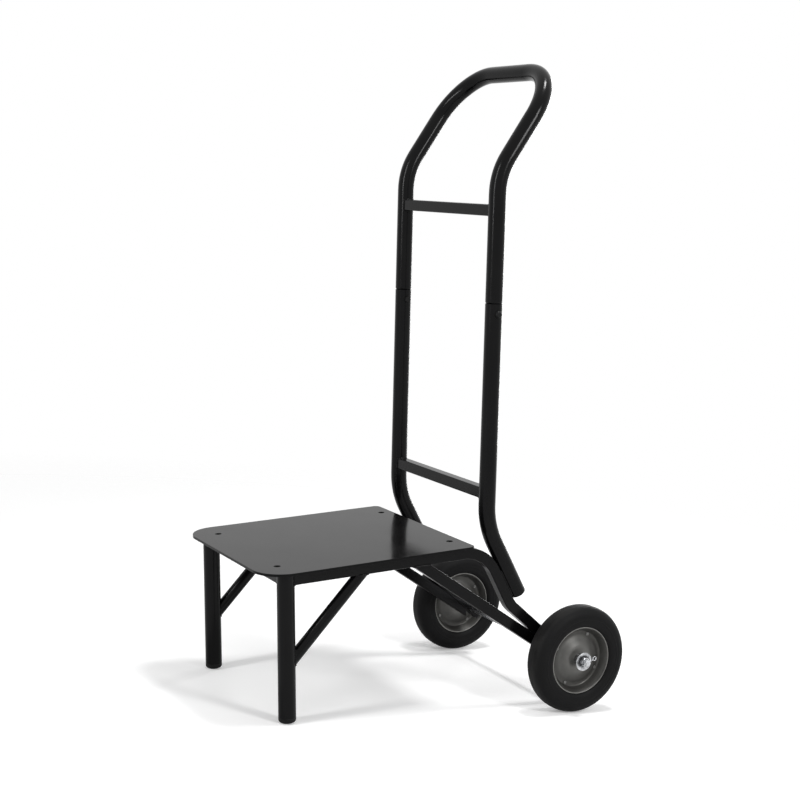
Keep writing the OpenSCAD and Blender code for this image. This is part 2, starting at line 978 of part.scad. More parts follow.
load_plate();
plate_screw(-1, -wheelbase);  // screw_front_left
plate_screw(1, -wheelbase);  // screw_front_right
plate_screw(-1, rear_bar_y);  // screw_rear_left
plate_screw(1, rear_bar_y);  // screw_rear_right
side_rail(-1);  // left_side_rail
side_rail(1);  // right_side_rail
front_cross_rail();
rear_cross_rail();
front_leg(-1);  // left_front_leg
front_leg(1);  // right_front_leg
leg_foot(-1);  // left_leg_foot
leg_foot(1);  // right_leg_foot
leg_brace(-1);  // left_leg_brace
leg_brace(1);  // right_leg_brace
rear_strut(-1);  // left_rear_strut
rear_strut(1);  // right_rear_strut
lower_upright(-1);  // left_lower_upright
lower_upright(1);  // right_lower_upright
upright_weld(-1);  // left_upright_weld
upright_weld(1);  // right_upright_weld
upright_plug(-1);  // left_upright_plug
upright_plug(1);  // right_upright_plug
rail_plug(-1);  // left_rail_plug
rail_plug(1);  // right_rail_plug
lower_crossbar();
upper_crossbar();
handle();
joint_bolt(-1);  // left_joint_bolt
joint_bolt(1);  // right_joint_bolt
joint_nut(-1);  // left_joint_nut
joint_nut(1);  // right_joint_nut
axle();
wheel_spacer(-1);  // left_spacer
wheel_spacer(1);  // right_spacer
wheel_washer(-1);  // left_washer
wheel_washer(1);  // right_washer
axle_nut(-1);  // left_axle_nut
axle_nut(1);  // right_axle_nut
split_pin(-1);  // left_split_pin
split_pin(1);  // right_split_pin
tyre(-1);  // left_tyre
rim_half(-1, 1);  // left_rim_outer
rim_half(-1, -1);  // left_rim_inner
rim_rivets(-1);  // left_rim_rivets
hub(-1);  // left_hub
bush(-1, 1);  // left_bush_outer
bush(-1, -1);  // left_bush_inner
tyre(1);  // right_tyre
rim_half(1, 1);  // right_rim_outer
rim_half(1, -1);  // right_rim_inner
rim_rivets(1);  // right_rim_rivets
hub(1);  // right_hub
bush(1, 1);  // right_bush_outer
bush(1, -1);  // right_bush_inner
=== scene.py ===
"""Stacking chair trolley: detailed pieces, finishes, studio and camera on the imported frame."""

import sys

import json
import logging
import math
from collections.abc import Callable, Iterable, Mapping, Sequence
from dataclasses import dataclass
from enum import Enum

import bmesh
import bpy
from bmesh.types import BMEdge, BMesh, BMVert
from bpy.types import Material, Node, NodeSocket, NodeTree
from mathutils import Matrix, Vector
from mathutils.bvhtree import BVHTree


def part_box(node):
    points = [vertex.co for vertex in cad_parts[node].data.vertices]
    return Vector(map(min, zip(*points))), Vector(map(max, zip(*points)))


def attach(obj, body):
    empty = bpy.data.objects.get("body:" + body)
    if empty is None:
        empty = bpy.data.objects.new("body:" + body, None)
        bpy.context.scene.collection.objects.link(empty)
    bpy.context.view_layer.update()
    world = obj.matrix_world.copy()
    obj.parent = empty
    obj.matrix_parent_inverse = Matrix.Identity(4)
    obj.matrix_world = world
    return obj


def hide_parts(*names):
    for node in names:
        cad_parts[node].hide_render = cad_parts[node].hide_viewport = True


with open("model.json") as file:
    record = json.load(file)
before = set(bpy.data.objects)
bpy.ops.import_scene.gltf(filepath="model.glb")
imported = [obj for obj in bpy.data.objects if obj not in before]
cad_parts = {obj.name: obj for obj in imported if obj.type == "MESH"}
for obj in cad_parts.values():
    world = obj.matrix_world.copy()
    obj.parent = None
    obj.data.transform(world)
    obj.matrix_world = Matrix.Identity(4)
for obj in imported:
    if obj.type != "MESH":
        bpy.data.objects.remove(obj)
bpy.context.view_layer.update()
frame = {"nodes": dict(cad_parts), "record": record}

LOG = logging.getLogger("trolley")
MM = 0.001
FULL_TURN = 2 * math.pi
SAME_PLACE = 1e-6
FEWEST_SEGMENTS = 3
WHITE = (1.0, 1.0, 1.0, 1.0)
MOTTLE_MID = (0.3, 0.7)
MOTTLE_WIDE = (0.25, 0.75)

Colour = tuple[float, float, float]
Corner = tuple[float, float, float]
Span = tuple[float, float]
Sockets = Mapping[str, NodeSocket]
Placing = Callable[[float, float], Vector]
Search = Callable[[Vector], Vector]


class Side(Enum):
    """The trolley's two sides, by the sign of X."""

    LEFT = -1
    RIGHT = 1

    def node(self, name: str) -> str:
        """Name of this side's copy of a node."""
        return f"{self.name.lower()}_{name}"

    @property
    def wheel(self) -> str:
        """Name of this side's wheel body."""
        return self.node("wheel")


class Facing(Enum):
    """Which way a half of a rim is dished, along the axle."""

    INNER = -1
    OUTER = 1


class Slot(Enum):
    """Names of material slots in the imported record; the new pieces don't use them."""

    FRAME = "frame_coat"
    PLATE = "plate_coat"
    TYRE = "tyre_rubber"
    RIM = "rim_enamel"
    ZINC = "zinc_steel"


@dataclass(frozen=True)
class PlateAxes:
    """The load plate's own axes: right, back and up from the middle of its top face."""

    origin: Vector
    up: Vector

    @classmethod
    def from_record(cls, record: dict) -> "PlateAxes":
        """Reads the axes from the record's load face.

        Args:
            record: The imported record.

        Returns:
            The plate's axes in the row frame, in metres.
        """
        face = next(mount for mount in record["mounts"] if mount["name"] == "load_face")
        return cls(Vector(face["pos_m"]), Vector(face["axis"]).normalized())

    @property
    def matrix(self) -> Matrix:
        """Turns places on the plate into places in the row frame.

        Returns:
            The matrix.
        """
        right = Vector((1.0, 0.0, 0.0))
        back = self.up.cross(right)
        turn = Matrix((right, back, self.up)).transposed()
        return Matrix.Translation(self.origin) @ turn.to_4x4()


class Graph:
    """A node tree with short calls for adding and joining nodes."""

    def __init__(self, tree: NodeTree) -> None:
        """Keeps the tree that the calls work on."""
        self.tree = tree

    def feed(self, target: NodeSocket, value: NodeSocket | float | tuple) -> None:
        """Links a socket to an input, or sets the input's own value.

        Args:
            target: The input.
            value: The socket, or the value to set.
        """
        if isinstance(value, NodeSocket):
            self.tree.links.new(value, target)
        else:
            target.default_value = value

    def add(self, kind: str, inputs: dict | None = None, **settings: object) -> Node:
        """Adds a node.

        Args:
            kind: The name of the node's type.
            inputs: Values or sockets for its inputs, by name or number.
            settings: Values for its own properties.

        Returns:
            The new node.
        """
        node = self.tree.nodes.new(kind)
        for name, value in settings.items():
            setattr(node, name, value)
        for key, value in (inputs or {}).items():
            self.feed(node.inputs[key], value)
        return node

    def where(self) -> NodeSocket:
        """Place on the piece, in Object coordinates."""
        return self.add("ShaderNodeTexCoord").outputs["Object"]

    def math(self, operation: str, *values: NodeSocket | float) -> NodeSocket:
        """Result of a Math node on up to three values or sockets."""
        return self.add("ShaderNodeMath", dict(enumerate(values)), operation=operation).outputs[0]

    def ramp(self, value: NodeSocket, span: Span, result: Span = (0.0, 1.0)) -> NodeSocket:
        """Maps a span of a value onto a span of results, and clamps it.

        Args:
            value: The socket to map.
            span: Values that give the first and the last result.
            result: The first and the last result.

        Returns:
            The mapped socket.
        """
        low, high = span
        first, last = result
        inputs = {"Value": value, "From Min": low, "From Max": high, "To Min": first, "To Max": last}
        return self.add("ShaderNodeMapRange", inputs).outputs["Result"]

    def band(self, value: NodeSocket, rise: Span, fall: Span) -> NodeSocket:
        """Mask that comes in over one span of a value and goes out over another."""
        return self.math("MULTIPLY", self.ramp(value, rise), self.ramp(value, fall))

    def noise(
        self, where: NodeSocket, scale: NodeSocket | float, detail: float, roughness: float
    ) -> NodeSocket:
        """Noise at a scale given as a number or a socket.

        Args:
            where: Coordinates.
            scale: Cells per metre.
            detail: Octaves of finer noise.
            roughness: Strength of the finer octaves.

        Returns:
            The noise's value socket.
        """
        inputs = {"Vector": where, "Scale": scale, "Detail": detail, "Roughness": roughness}
        return self.add("ShaderNodeTexNoise", inputs).outputs["Fac"]

    def mix(self, share: NodeSocket, first: NodeSocket | Colour, second: Colour) -> NodeSocket:
        """Mixes two colours by a share.

        Args:
            share: 0 for the first colour and 1 for the second.
            first: Colour or socket.
            second: Colour.

        Returns:
            The mixed colour's socket.
        """
        # The node's number and colour sockets share their names, so they are taken by place.
        node = self.add("ShaderNodeMix", {0: share, 7: (*second, 1.0)}, data_type="RGBA")
        self.feed(node.inputs[6], (*first, 1.0) if isinstance(first, tuple) else first)
        return node.outputs[2]


class Effects:
    """Shader groups that more than one finish uses, each built once."""

    def __init__(self) -> None:
        """Builds the groups."""
        self.coat_grain = self._coat_grain()
        self.edge_wear = self._edge_wear()
        self.settled_dust = self._settled_dust()
        self.turned_rings = self._turned_rings()

    @staticmethod
    def _group(name: str, inputs: dict[str, float], outputs: Sequence[str]) -> tuple[Graph, Sockets, Sockets]:
        """Starts a group with named value sockets.

        Args:
            name: The group's name.
            inputs: Default value of each input.
            outputs: Names of the outputs.

        Returns:
            The group's graph, the sockets that give its inputs, and those that take its outputs.
        """
        tree = bpy.data.node_groups.new(name, "ShaderNodeTree")
        for key, value in inputs.items():
            socket = tree.interface.new_socket(name=key, in_out="INPUT", socket_type="NodeSocketFloat")
            socket.default_value = value
        for key in outputs:
            tree.interface.new_socket(name=key, in_out="OUTPUT", socket_type="NodeSocketFloat")
        graph = Graph(tree)
        return graph, graph.add("NodeGroupInput").outputs, graph.add("NodeGroupOutput").inputs

    def _coat_grain(self) -> NodeTree:
        """Fine pebbling of a sprayed coat, and slow changes of its shade.

        Returns:
            The group.
        """
        scales = {"Grain Scale": 900.0, "Mottle Scale": 20.0}
        graph, given, out = self._group("coat_grain", scales, ["Height", "Mottle"])
        where = graph.where()
        graph.feed(out["Height"], graph.noise(where, given["Grain Scale"], detail=2.0, roughness=0.6))
        graph.feed(out["Mottle"], graph.noise(where, given["Mottle Scale"], detail=4.0, roughness=0.55))
        return graph.tree

    def _edge_wear(self) -> NodeTree:
        """Broken mask along convex and concave edges.

        Returns:
            The group.
        """
        scales = {"Radius": 0.001, "Break-up Scale": 140.0}
        graph, given, out = self._group("edge_wear", scales, ["Mask"])
        rounded = graph.add("ShaderNodeBevel", {"Radius": given["Radius"]}, samples=4).outputs["Normal"]
        plain = graph.add("ShaderNodeNewGeometry").outputs["Normal"]
        bend = graph.add("ShaderNodeVectorMath", {0: rounded, 1: plain}, operation="DOT_PRODUCT")
        edge = graph.ramp(bend.outputs["Value"], (0.985, 0.8))
        patches = graph.noise(graph.where(), given["Break-up Scale"], detail=3.0, roughness=0.6)
        graph.feed(out["Mask"], graph.math("MULTIPLY", edge, graph.ramp(patches, (0.42, 0.62))))
        return graph.tree

    def _settled_dust(self) -> NodeTree:
        """Mask of faces that look up, broken into patches.

        Returns:
            The group.
        """
        graph, given, out = self._group("settled_dust", {"Patch Scale": 18.0}, ["Mask"])
        normal = graph.add("ShaderNodeNewGeometry").outputs["Normal"]
        facing = graph.add("ShaderNodeSeparateXYZ", {0: normal}).outputs["Z"]
        upward = graph.ramp(facing, (0.2, 1.0))
        patches = graph.noise(graph.where(), given["Patch Scale"], detail=5.0, roughness=0.65)
        graph.feed(out["Mask"], graph.math("MULTIPLY", upward, graph.ramp(patches, (0.3, 0.75))))
        return graph.tree

    def _turned_rings(self) -> NodeTree:
        """Ring marks round the axle, and the distance from it.

        Returns:
            The group.
        """
        axle = {"Axle Y": 0.0, "Axle Z": 0.0, "Pitch": 0.0006}
        graph, given, out = self._group("turned_rings", axle, ["Height", "Radius"])
        where = graph.add("ShaderNodeSeparateXYZ", {0: graph.where()}).outputs
        across = graph.math("SUBTRACT", where["Y"], given["Axle Y"])
        upward = graph.math("SUBTRACT", where["Z"], given["Axle Z"])
        squares = [graph.math("MULTIPLY", part, part) for part in (across, upward)]
        radius = graph.math("SQRT", graph.math("ADD", *squares))
        turns = graph.math("DIVIDE", radius, given["Pitch"])
        graph.feed(out["Height"], graph.math("SINE", graph.math("MULTIPLY", turns, FULL_TURN)))
        graph.feed(out["Radius"], radius)
        return graph.tree


class Surface(Graph):
    """A new material's graph, with its Principled shader."""

    def __init__(self, name: str) -> None:
        """Starts the material.

        Args:
            name: The finish's name.
        """
        self.material = bpy.data.materials.new(f"{name}_finish")
        self.material.use_nodes = True
        super().__init__(self.material.node_tree)
        self.shader = self.tree.nodes["Principled BSDF"]

    def give(self, name: str, value: NodeSocket | float | tuple) -> None:
        """Gives one of the shader's inputs a socket or a value."""
        self.feed(self.shader.inputs[name], value)

    def group(self, tree: NodeTree, **values: float) -> Sockets:
        """Places a shader group in the material.

        Args:
            tree: The group to place.
            values: Input values, with underscores for spaces.

        Returns:
            The placed group's outputs by name.
        """
        inputs = {key.replace("_", " "): value for key, value in values.items()}
        return self.add("ShaderNodeGroup", inputs, node_tree=tree).outputs

    def rings(self, effects: Effects, axle: Vector, pitch: float) -> Sockets:
        """Places the marks that run round the axle, with the distance from it."""
        return self.group(effects.turned_rings, Axle_Y=axle.y, Axle_Z=axle.z, Pitch=pitch)

    def cover(
        self, colour: NodeSocket, shade: Colour, mask: NodeSocket, share: NodeSocket | float
    ) -> NodeSocket:
        """Lays a shade over a colour through a mask.

        Args:
            colour: The colour below.
            shade: The shade on top.
            mask: Where it lies.
            share: How much of it shows there.

        Returns:
            The covered colour's socket.
        """
        return self.mix(self.math("MULTIPLY", mask, share), colour, shade)

    def uneven(self, mottle: NodeSocket, span: Span, level: float, change: Span) -> NodeSocket:
        """Changes a level with the mottle.

        Args:
            mottle: The mottle's socket.
            span: Mottle that gives the first and the last result.
            level: The level to change.
            change: What is added to it first and last.

        Returns:
            The uneven level's socket.
        """
        return self.ramp(mottle, span, (level + change[0], level + change[1]))

    def bump(self, height: NodeSocket, depth: float, strength: float = 0.5) -> None:
        """Turns a height into the shader's normal.

        Args:
            height: Height between 0 and 1.
            depth: Size of the bumps in metres.
            strength: How much of them shows.
        """
        bump = self.add("ShaderNodeBump", {"Height": height, "Distance": depth, "Strength": strength})
        self.give("Normal", bump.outputs["Normal"])


def tint(shade: Colour, factor: float) -> Colour:
    """A shade with each of its parts multiplied."""
    return tuple(factor * part for part in shade)


@dataclass(frozen=True)
class PowderCoat:
    """Baked powder coat on steel. Lengths in metres."""

    name: str
    shade: Colour
    pale_shade: Colour
    roughness: float
    specular: float
    grain_scale: float
    grain_depth: float
    wear: float = 0.25
    dust: float = 0.05
    worn_shade: Colour = (0.09, 0.09, 0.092)
    dust_shade: Colour = (0.30, 0.29, 0.27)
    mottle_scale: float = 16.0
    patch_scale: float = 14.0
    wear_radius: float = 0.0009
    unevenness: Span = (-0.04, 0.05)

    def material(self, effects: Effects) -> Material:
        """Builds the coat.

        Args:
            effects: The shared shader groups.

        Returns:
            The material.
        """
        surface = Surface(self.name)
        grain = surface.group(
            effects.coat_grain, Grain_Scale=self.grain_scale, Mottle_Scale=self.mottle_scale,
        )
        wear = surface.group(effects.edge_wear, Radius=self.wear_radius)["Mask"]
        dust = surface.group(effects.settled_dust, Patch_Scale=self.patch_scale)["Mask"]
        colour = surface.mix(surface.ramp(grain["Mottle"], MOTTLE_MID), self.shade, self.pale_shade)
        colour = surface.cover(colour, self.worn_shade, wear, self.wear)
        colour = surface.cover(colour, self.dust_shade, dust, self.dust)
        surface.give("Base Color", colour)
        rough = surface.uneven(grain["Mottle"], MOTTLE_WIDE, self.roughness, self.unevenness)
        surface.give("Roughness", rough)
        surface.give("Specular IOR Level", self.specular)
        surface.bump(grain["Height"], self.grain_depth)
        return surface.material


@dataclass(frozen=True)
class MouldedPlastic:
    """Injection-moulded plastic with a fine spark-eroded texture. Lengths in metres."""

    name: str
    shade: Colour
    roughness: float
    specular: float = 0.16
    bloom: float = 2.6
    bloom_lift: float = 0.002
    bloom_span: Span = (0.35, 0.75)
    bloom_share: Span = (0.0, 0.5)
    scuffs: float = 0.4
    scuff_shade: Colour = (0.07, 0.07, 0.07)
    scuff_radius: float = 0.0008
    unevenness: Span = (-0.06, 0.06)
    grain_depth: float = 0.00008

    def material(self, effects: Effects) -> Material:
        """Builds the plastic.

        Args:
            effects: The shared shader groups.

        Returns:
            The material.
        """
        surface = Surface(self.name)
        grain = surface.group(effects.coat_grain, Grain_Scale=1800.0, Mottle_Scale=60.0)
        scuff = surface.group(effects.edge_wear, Radius=self.scuff_radius)["Mask"]
        paler = tuple(self.bloom * part + self.bloom_lift for part in self.shade)
        bloom = surface.ramp(grain["Mottle"], self.bloom_span, self.bloom_share)
        colour = surface.mix(bloom, self.shade, paler)
        surface.give("Base Color", surface.cover(colour, self.scuff_shade, scuff, self.scuffs))
        rough = surface.uneven(grain["Mottle"], MOTTLE_MID, self.roughness, self.unevenness)
        surface.give("Roughness", rough)
        surface.give("Specular IOR Level", self.specular)
        surface.bump(grain["Height"], self.grain_depth)
        return surface.material


@dataclass(frozen=True)
class TyreRubber:
    """Matte rubber with moulded rings round the axle and a little dust. Lengths in metres."""

    name: str
    shade: Colour
    roughness: float
    axle: Vector
    specular: float = 0.115
    bloom: float = 1.7
    bloom_span: Span = (0.35, 0.8)
    bloom_share: Span = (0.0, 0.55)
    tread: Span = (0.0965, 0.1018)
    dust_shade: Colour = (0.03, 0.029, 0.0275)
    dust_span: Span = (0.4, 0.7)
    dust_share: Span = (0.0, 0.35)
    unevenness: Span = (-0.07, 0.07)
    ring_pitch: float = 0.0011
    ring_share: float = 0.12
    grain_depth: float = 0.00012

    def material(self, effects: Effects) -> Material:
        """Builds the rubber.

        Args:
            effects: The shared shader groups.

        Returns:
            The material.
        """
        surface = Surface(self.name)
        grain = surface.group(effects.coat_grain, Grain_Scale=1400.0, Mottle_Scale=35.0)
        rings = surface.rings(effects, self.axle, self.ring_pitch)
        bloom = surface.ramp(grain["Mottle"], self.bloom_span, self.bloom_share)
        colour = surface.mix(bloom, self.shade, tint(self.shade, self.bloom))
        worn = surface.ramp(rings["Radius"], self.tread)
        patches = surface.ramp(grain["Mottle"], self.dust_span, self.dust_share)
        surface.give("Base Color", surface.cover(colour, self.dust_shade, worn, patches))
        rough = surface.uneven(grain["Mottle"], MOTTLE_MID, self.roughness, self.unevenness)
        surface.give("Roughness", rough)
        surface.give("Specular IOR Level", self.specular)
        height = surface.math("MULTIPLY_ADD", rings["Height"], self.ring_share, grain["Height"])
        surface.bump(height, self.grain_depth)
        return surface.material


@dataclass(frozen=True)
class RimEnamel:
    """Warm grey metallic enamel on pressed steel, with a painted highlight at the rolled lip, painted sheen
    towards the hub and painted shade in the seam ring. Lengths in metres.
    """

    name: str
    shade: Colour
    roughness: float
    axle: Vector
    metallic: float = 0.55
    mottle: float = 0.72
    # Painted sheen: the enamel's colour is lighter towards the hub.
    hub_sheen: float = 1.9
    hub_sheen_span: Span = (0.036, 0.016)
    hub_sheen_share: Span = (0.0, 0.5)
    # Painted shade: the enamel is darkened in patches in the recessed seam ring.
    seam_rise: Span = (0.041, 0.047)
    seam_fall: Span = (0.061, 0.057)
    painted_shade_colour: Colour = (0.03, 0.029, 0.026)
    painted_shade_span: Span = (0.25, 0.6)
    painted_shade_share: Span = (0.4, 0.75)
    wear: float = 0.35
    worn_shade: Colour = (0.42, 0.41, 0.39)
    wear_radius: float = 0.0008
    # Painted highlight: the rolled lip's colour is made brighter.
    lip: float = 3.4
    lip_highlight_span: Span = (0.0618, 0.0632)
    lip_highlight_share: Span = (0.0, 0.8)
    lip_polish: float = 0.16
    unevenness: Span = (-0.05, 0.06)
    ring_pitch: float = 0.0009
    ring_share: float = 0.18
    grain_depth: float = 0.00002

    def material(self, effects: Effects) -> Material:
        """Builds the enamel.

        Args:
            effects: The shared shader groups.

        Returns:
            The material.
        """
        surface = Surface(self.name)
        grain = surface.group(effects.coat_grain, Grain_Scale=1600.0, Mottle_Scale=45.0)
        rings = surface.rings(effects, self.axle, self.ring_pitch)
        wear = surface.group(effects.edge_wear, Radius=self.wear_radius)["Mask"]
        mottle = surface.ramp(grain["Mottle"], MOTTLE_MID)
        colour = surface.mix(mottle, tint(self.shade, self.mottle), self.shade)
        # Painted sheen: the colour is lightened towards the hub.
        hub_sheen = surface.ramp(rings["Radius"], self.hub_sheen_span, self.hub_sheen_share)
        colour = surface.mix(hub_sheen, colour, tint(self.shade, self.hub_sheen))
        # Painted shade: the seam ring's colour is darkened in patches.
        seam = surface.band(rings["Radius"], self.seam_rise, self.seam_fall)
        painted_shade_level = surface.ramp(grain["Mottle"], self.painted_shade_span, self.painted_shade_share)
        colour = surface.cover(colour, self.painted_shade_colour, seam, painted_shade_level)
        colour = surface.cover(colour, self.worn_shade, wear, self.wear)
        # Painted highlight: the colour is brightened at the rolled lip.
        lip = surface.ramp(rings["Radius"], self.lip_highlight_span, self.lip_highlight_share)
        surface.give("Base Color", surface.mix(lip, colour, tint(self.shade, self.lip)))
        surface.give("Metallic", self.metallic)
        rough = surface.uneven(grain["Mottle"], MOTTLE_WIDE, self.roughness, self.unevenness)
        surface.give("Roughness", surface.math("MULTIPLY_ADD", lip, -self.lip_polish, rough))
        height = surface.math("MULTIPLY_ADD", rings["Height"], self.ring_share, grain["Height"])
        surface.bump(height, self.grain_depth)
        return surface.material


@dataclass(frozen=True)
class ZincPlate:
    """Bright zinc plate, clouded, marked by turning, with painted shade at the nut's foot. Lengths in metres.
    """

    name: str
    shade: Colour
    roughness: float
    axle: Vector
    cloud: float = 0.62
    cloud_span: Span = (0.35, 0.65)
    # Painted shade: a dark ring round the nut's foot, where nut and washer meet.
    foot_rise: Span = (0.0086, 0.0094)
    foot_fall: Span = (0.0138, 0.0112)
    painted_shade_colour: Colour = (0.02, 0.02, 0.021)
    painted_shade_span: Span = (0.3, 0.6)
    painted_shade_share: Span = (0.85, 0.6)
    unevenness: Span = (0.1, -0.05)
    ring_pitch: float = 0.0005
    ring_depth: float = 0.00002
    ring_strength: float = 0.35

    def material(self, effects: Effects) -> Material:
        """Builds the plating.

        Args:
            effects: The shared shader groups.

        Returns:
            The material.
        """
        surface = Surface(self.name)
        grain = surface.group(effects.coat_grain, Grain_Scale=2400.0, Mottle_Scale=130.0)
        rings = surface.rings(effects, self.axle, self.ring_pitch)
        clouds = surface.ramp(grain["Mottle"], self.cloud_span)
        colour = surface.mix(clouds, tint(self.shade, self.cloud), self.shade)
        # Painted shade: the colour is darkened in a ring at the nut's foot.
        foot = surface.band(rings["Radius"], self.foot_rise, self.foot_fall)
        painted_shade_level = surface.ramp(grain["Mottle"], self.painted_shade_span, self.painted_shade_share)
        surface.give("Base Color", surface.cover(colour, self.painted_shade_colour, foot, painted_shade_level))
        surface.give("Metallic", 1.0)
        rough = surface.uneven(grain["Mottle"], MOTTLE_WIDE, self.roughness, self.unevenness)
        surface.give("Roughness", rough)
        surface.bump(rings["Height"], self.ring_depth, self.ring_strength)
        return surface.material


@dataclass(frozen=True)
class Palette:
    """The trolley's materials."""

    frame_coat: Material
    plate_coat: Material
    screw: Material
    bolt: Material
    plastic: Material
    bush: Material
    rubber: Material
    enamel: Material
    rivet: Material
    zinc: Material

    @classmethod
    def around(cls, axle: Vector) -> "Palette":
        """Builds the materials.

        Args:
            axle: A point on the axle, for the marks that run round it.

        Returns:
            The materials.
        """
        finishes = {
            "frame_coat": PowderCoat(
                "frame_coat", (0.002, 0.002, 0.0022), (0.0032, 0.0032, 0.0034),
                roughness=0.17, specular=0.12, grain_scale=1100.0, grain_depth=0.000005, dust=0.012,
            ),
            "plate_coat": PowderCoat(
                "plate_coat", (0.003, 0.003, 0.0032), (0.0041, 0.0041, 0.0043),
                roughness=0.145, specular=0.085, grain_scale=1300.0, grain_depth=0.00001, dust=0.02,
            ),
            "screw": PowderCoat(
                "black_screw", (0.0016, 0.0016, 0.0017), (0.003, 0.003, 0.0031),
                roughness=0.6, specular=0.03, grain_scale=1500.0, grain_depth=0.00003, wear=0.15, dust=0.01,
            ),
            "bolt": PowderCoat(
                "black_bolt", (0.003, 0.003, 0.0031), (0.005, 0.005, 0.0052),
                roughness=0.32, specular=0.15, grain_scale=1500.0, grain_depth=0.00002, wear=0.3, dust=0.02,
            ),
            "plastic": MouldedPlastic("black_plastic", (0.0025, 0.0025, 0.0025), roughness=0.42),
            "bush": MouldedPlastic("bush_plastic", (0.012, 0.012, 0.012), roughness=0.45),
            "rubber": TyreRubber("tyre_rubber", (0.0029, 0.0029, 0.0031), roughness=0.56, axle=axle),
            "enamel": RimEnamel("rim_enamel", (0.094, 0.0927, 0.0878), roughness=0.4, axle=axle),
            "rivet": ZincPlate("rim_rivet", (0.2, 0.2, 0.195), roughness=0.33, axle=axle),
            "zinc": ZincPlate("zinc_steel", (0.62, 0.63, 0.65), roughness=0.22, axle=axle),
        }
        effects = Effects()
        return cls(**{name: finish.material(effects) for name, finish in finishes.items()})


def add_piece(
    name: str,
    shape: BMesh,
    body: str,
    material: Material,
    replaced: Iterable[str] = (),
    crease: float = 38.0,
) -> None:
    """Turns a bmesh into a finished piece that rides on a body.

    Args:
        name: The piece's name.
        shape: Its shape in the row frame, which is freed.
        body: The body that carries it.
        material: Its finish.
        replaced: Nodes that it stands for.
        crease: Angle in degrees past which an edge stays sharp.
    """
    mesh = bpy.data.meshes.new(name)
    shape.to_mesh(mesh)
    shape.free()
    mesh.shade_smooth()
    mesh.set_sharp_from_angle(angle=math.radians(crease))
    mesh.materials.append(material)
    piece = bpy.data.objects.new(name, mesh)
    bpy.context.scene.collection.objects.link(piece)
    piece.modifiers.new("even_normals", "WEIGHTED_NORMAL").keep_sharp = True
    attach(piece, body)
    nodes = list(replaced)
    if nodes:
        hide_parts(*nodes)
    LOG.info("%s: %d faces on %s", name, len(mesh.polygons), body)


def dress_node(node: str, material: Material) -> None:
    """Gives a solid of the frame its finish.

    Args:
        node: The solid's name.
        material: Its finish.
    """
    mesh = frame["nodes"][node].data
    mesh.materials.clear()
    mesh.materials.append(material)
    LOG.info("%s: dressed in %s", node, material.name)


def section_wire(shape: BMesh, points: Sequence[Corner], at: Placing, closed: bool = True) -> list[BMEdge]:
    """Draws a section as a wire and rounds its corners.

    Args:
        shape: The bmesh to draw in.
        points: Each corner's two coordinates and how far its rounding starts from it, in millimetres.
        at: Gives a corner's place from its two coordinates.
        closed: True if the last corner joins the first.

    Returns:
        The wire's edges.
    """
    older = set(shape.edges)
    corners = [shape.verts.new(at(first, second)) for first, second, _ in points]
    for one, other in zip(corners, corners[1:] + (corners[:1] if closed else [])):
        shape.edges.new((one, other))
    for corner, (_, _, setback) in zip(corners, points):
        if setback > 0:
            bmesh.ops.bevel(
                shape, geom=[corner], offset=setback * MM, offset_type="OFFSET",
                segments=max(FEWEST_SEGMENTS, int(setback)), profile=0.5, affect="VERTICES", material=-1,
                clamp_overlap=False,
            )
    return [edge for edge in shape.edges if edge not in older]


def revolve(shape: BMesh, centre: Vector, steps: int) -> None:
    """Spins a section a full turn about the axle's direction.

    Args:
        shape: The bmesh that holds the section.
        centre: A point on the axis.
        steps: Steps of the turn.
    """
    bmesh.ops.spin(
        shape, geom=shape.verts[:] + shape.edges[:], cent=centre, axis=(1, 0, 0), angle=FULL_TURN,
        steps=steps, use_merge=True,
    )
    bmesh.ops.remove_doubles(shape, verts=shape.verts, dist=SAME_PLACE)
    bmesh.ops.recalc_face_normals(shape, faces=shape.faces)


def sweep_tube(
    shape: BMesh, path: Sequence[Vector], radii: Sequence[float], sides: int, closed: bool
) -> None:
    """Carries a ring along a path and bridges each ring to the next.

    Args:
        shape: The bmesh to draw in.
        path: Points of the path in the row frame.
        radii: Radius at each point.
        sides: Sides of the tube.
        closed: True if the last point joins the first.
    """
    count = len(path)
    rings: list[list[BMEdge]] = []
    ahead = Vector((0.0, 0.0, 1.0))
    turn = ahead.to_track_quat("Z", "Y")
    for index, point in enumerate(path):
        before = path[index - 1] if closed or index else point
        after = path[(index + 1) % count] if closed or index + 1 < count else point
        tangent = (after - before).normalized()
        turn = ahead.rotation_difference(tangent) @ turn
        ahead = tangent
        place = Matrix.Translation(point) @ turn.to_matrix().to_4x4()
        ring = bmesh.ops.create_circle(shape, segments=sides, radius=radii[index], matrix=place)["verts"]
        rings.append(list({edge for vert in ring for edge in vert.link_edges}))
    pairs = list(zip(rings, rings[1:])) + ([(rings[-1], rings[0])] if closed else [])
    for ring, following in pairs:
        bmesh.ops.bridge_loops(shape, edges=ring + following)
    if not closed:
        bmesh.ops.holes_fill(shape, edges=rings[0] + rings[-1], sides=0)
    bmesh.ops.recalc_face_normals(shape, faces=shape.faces)


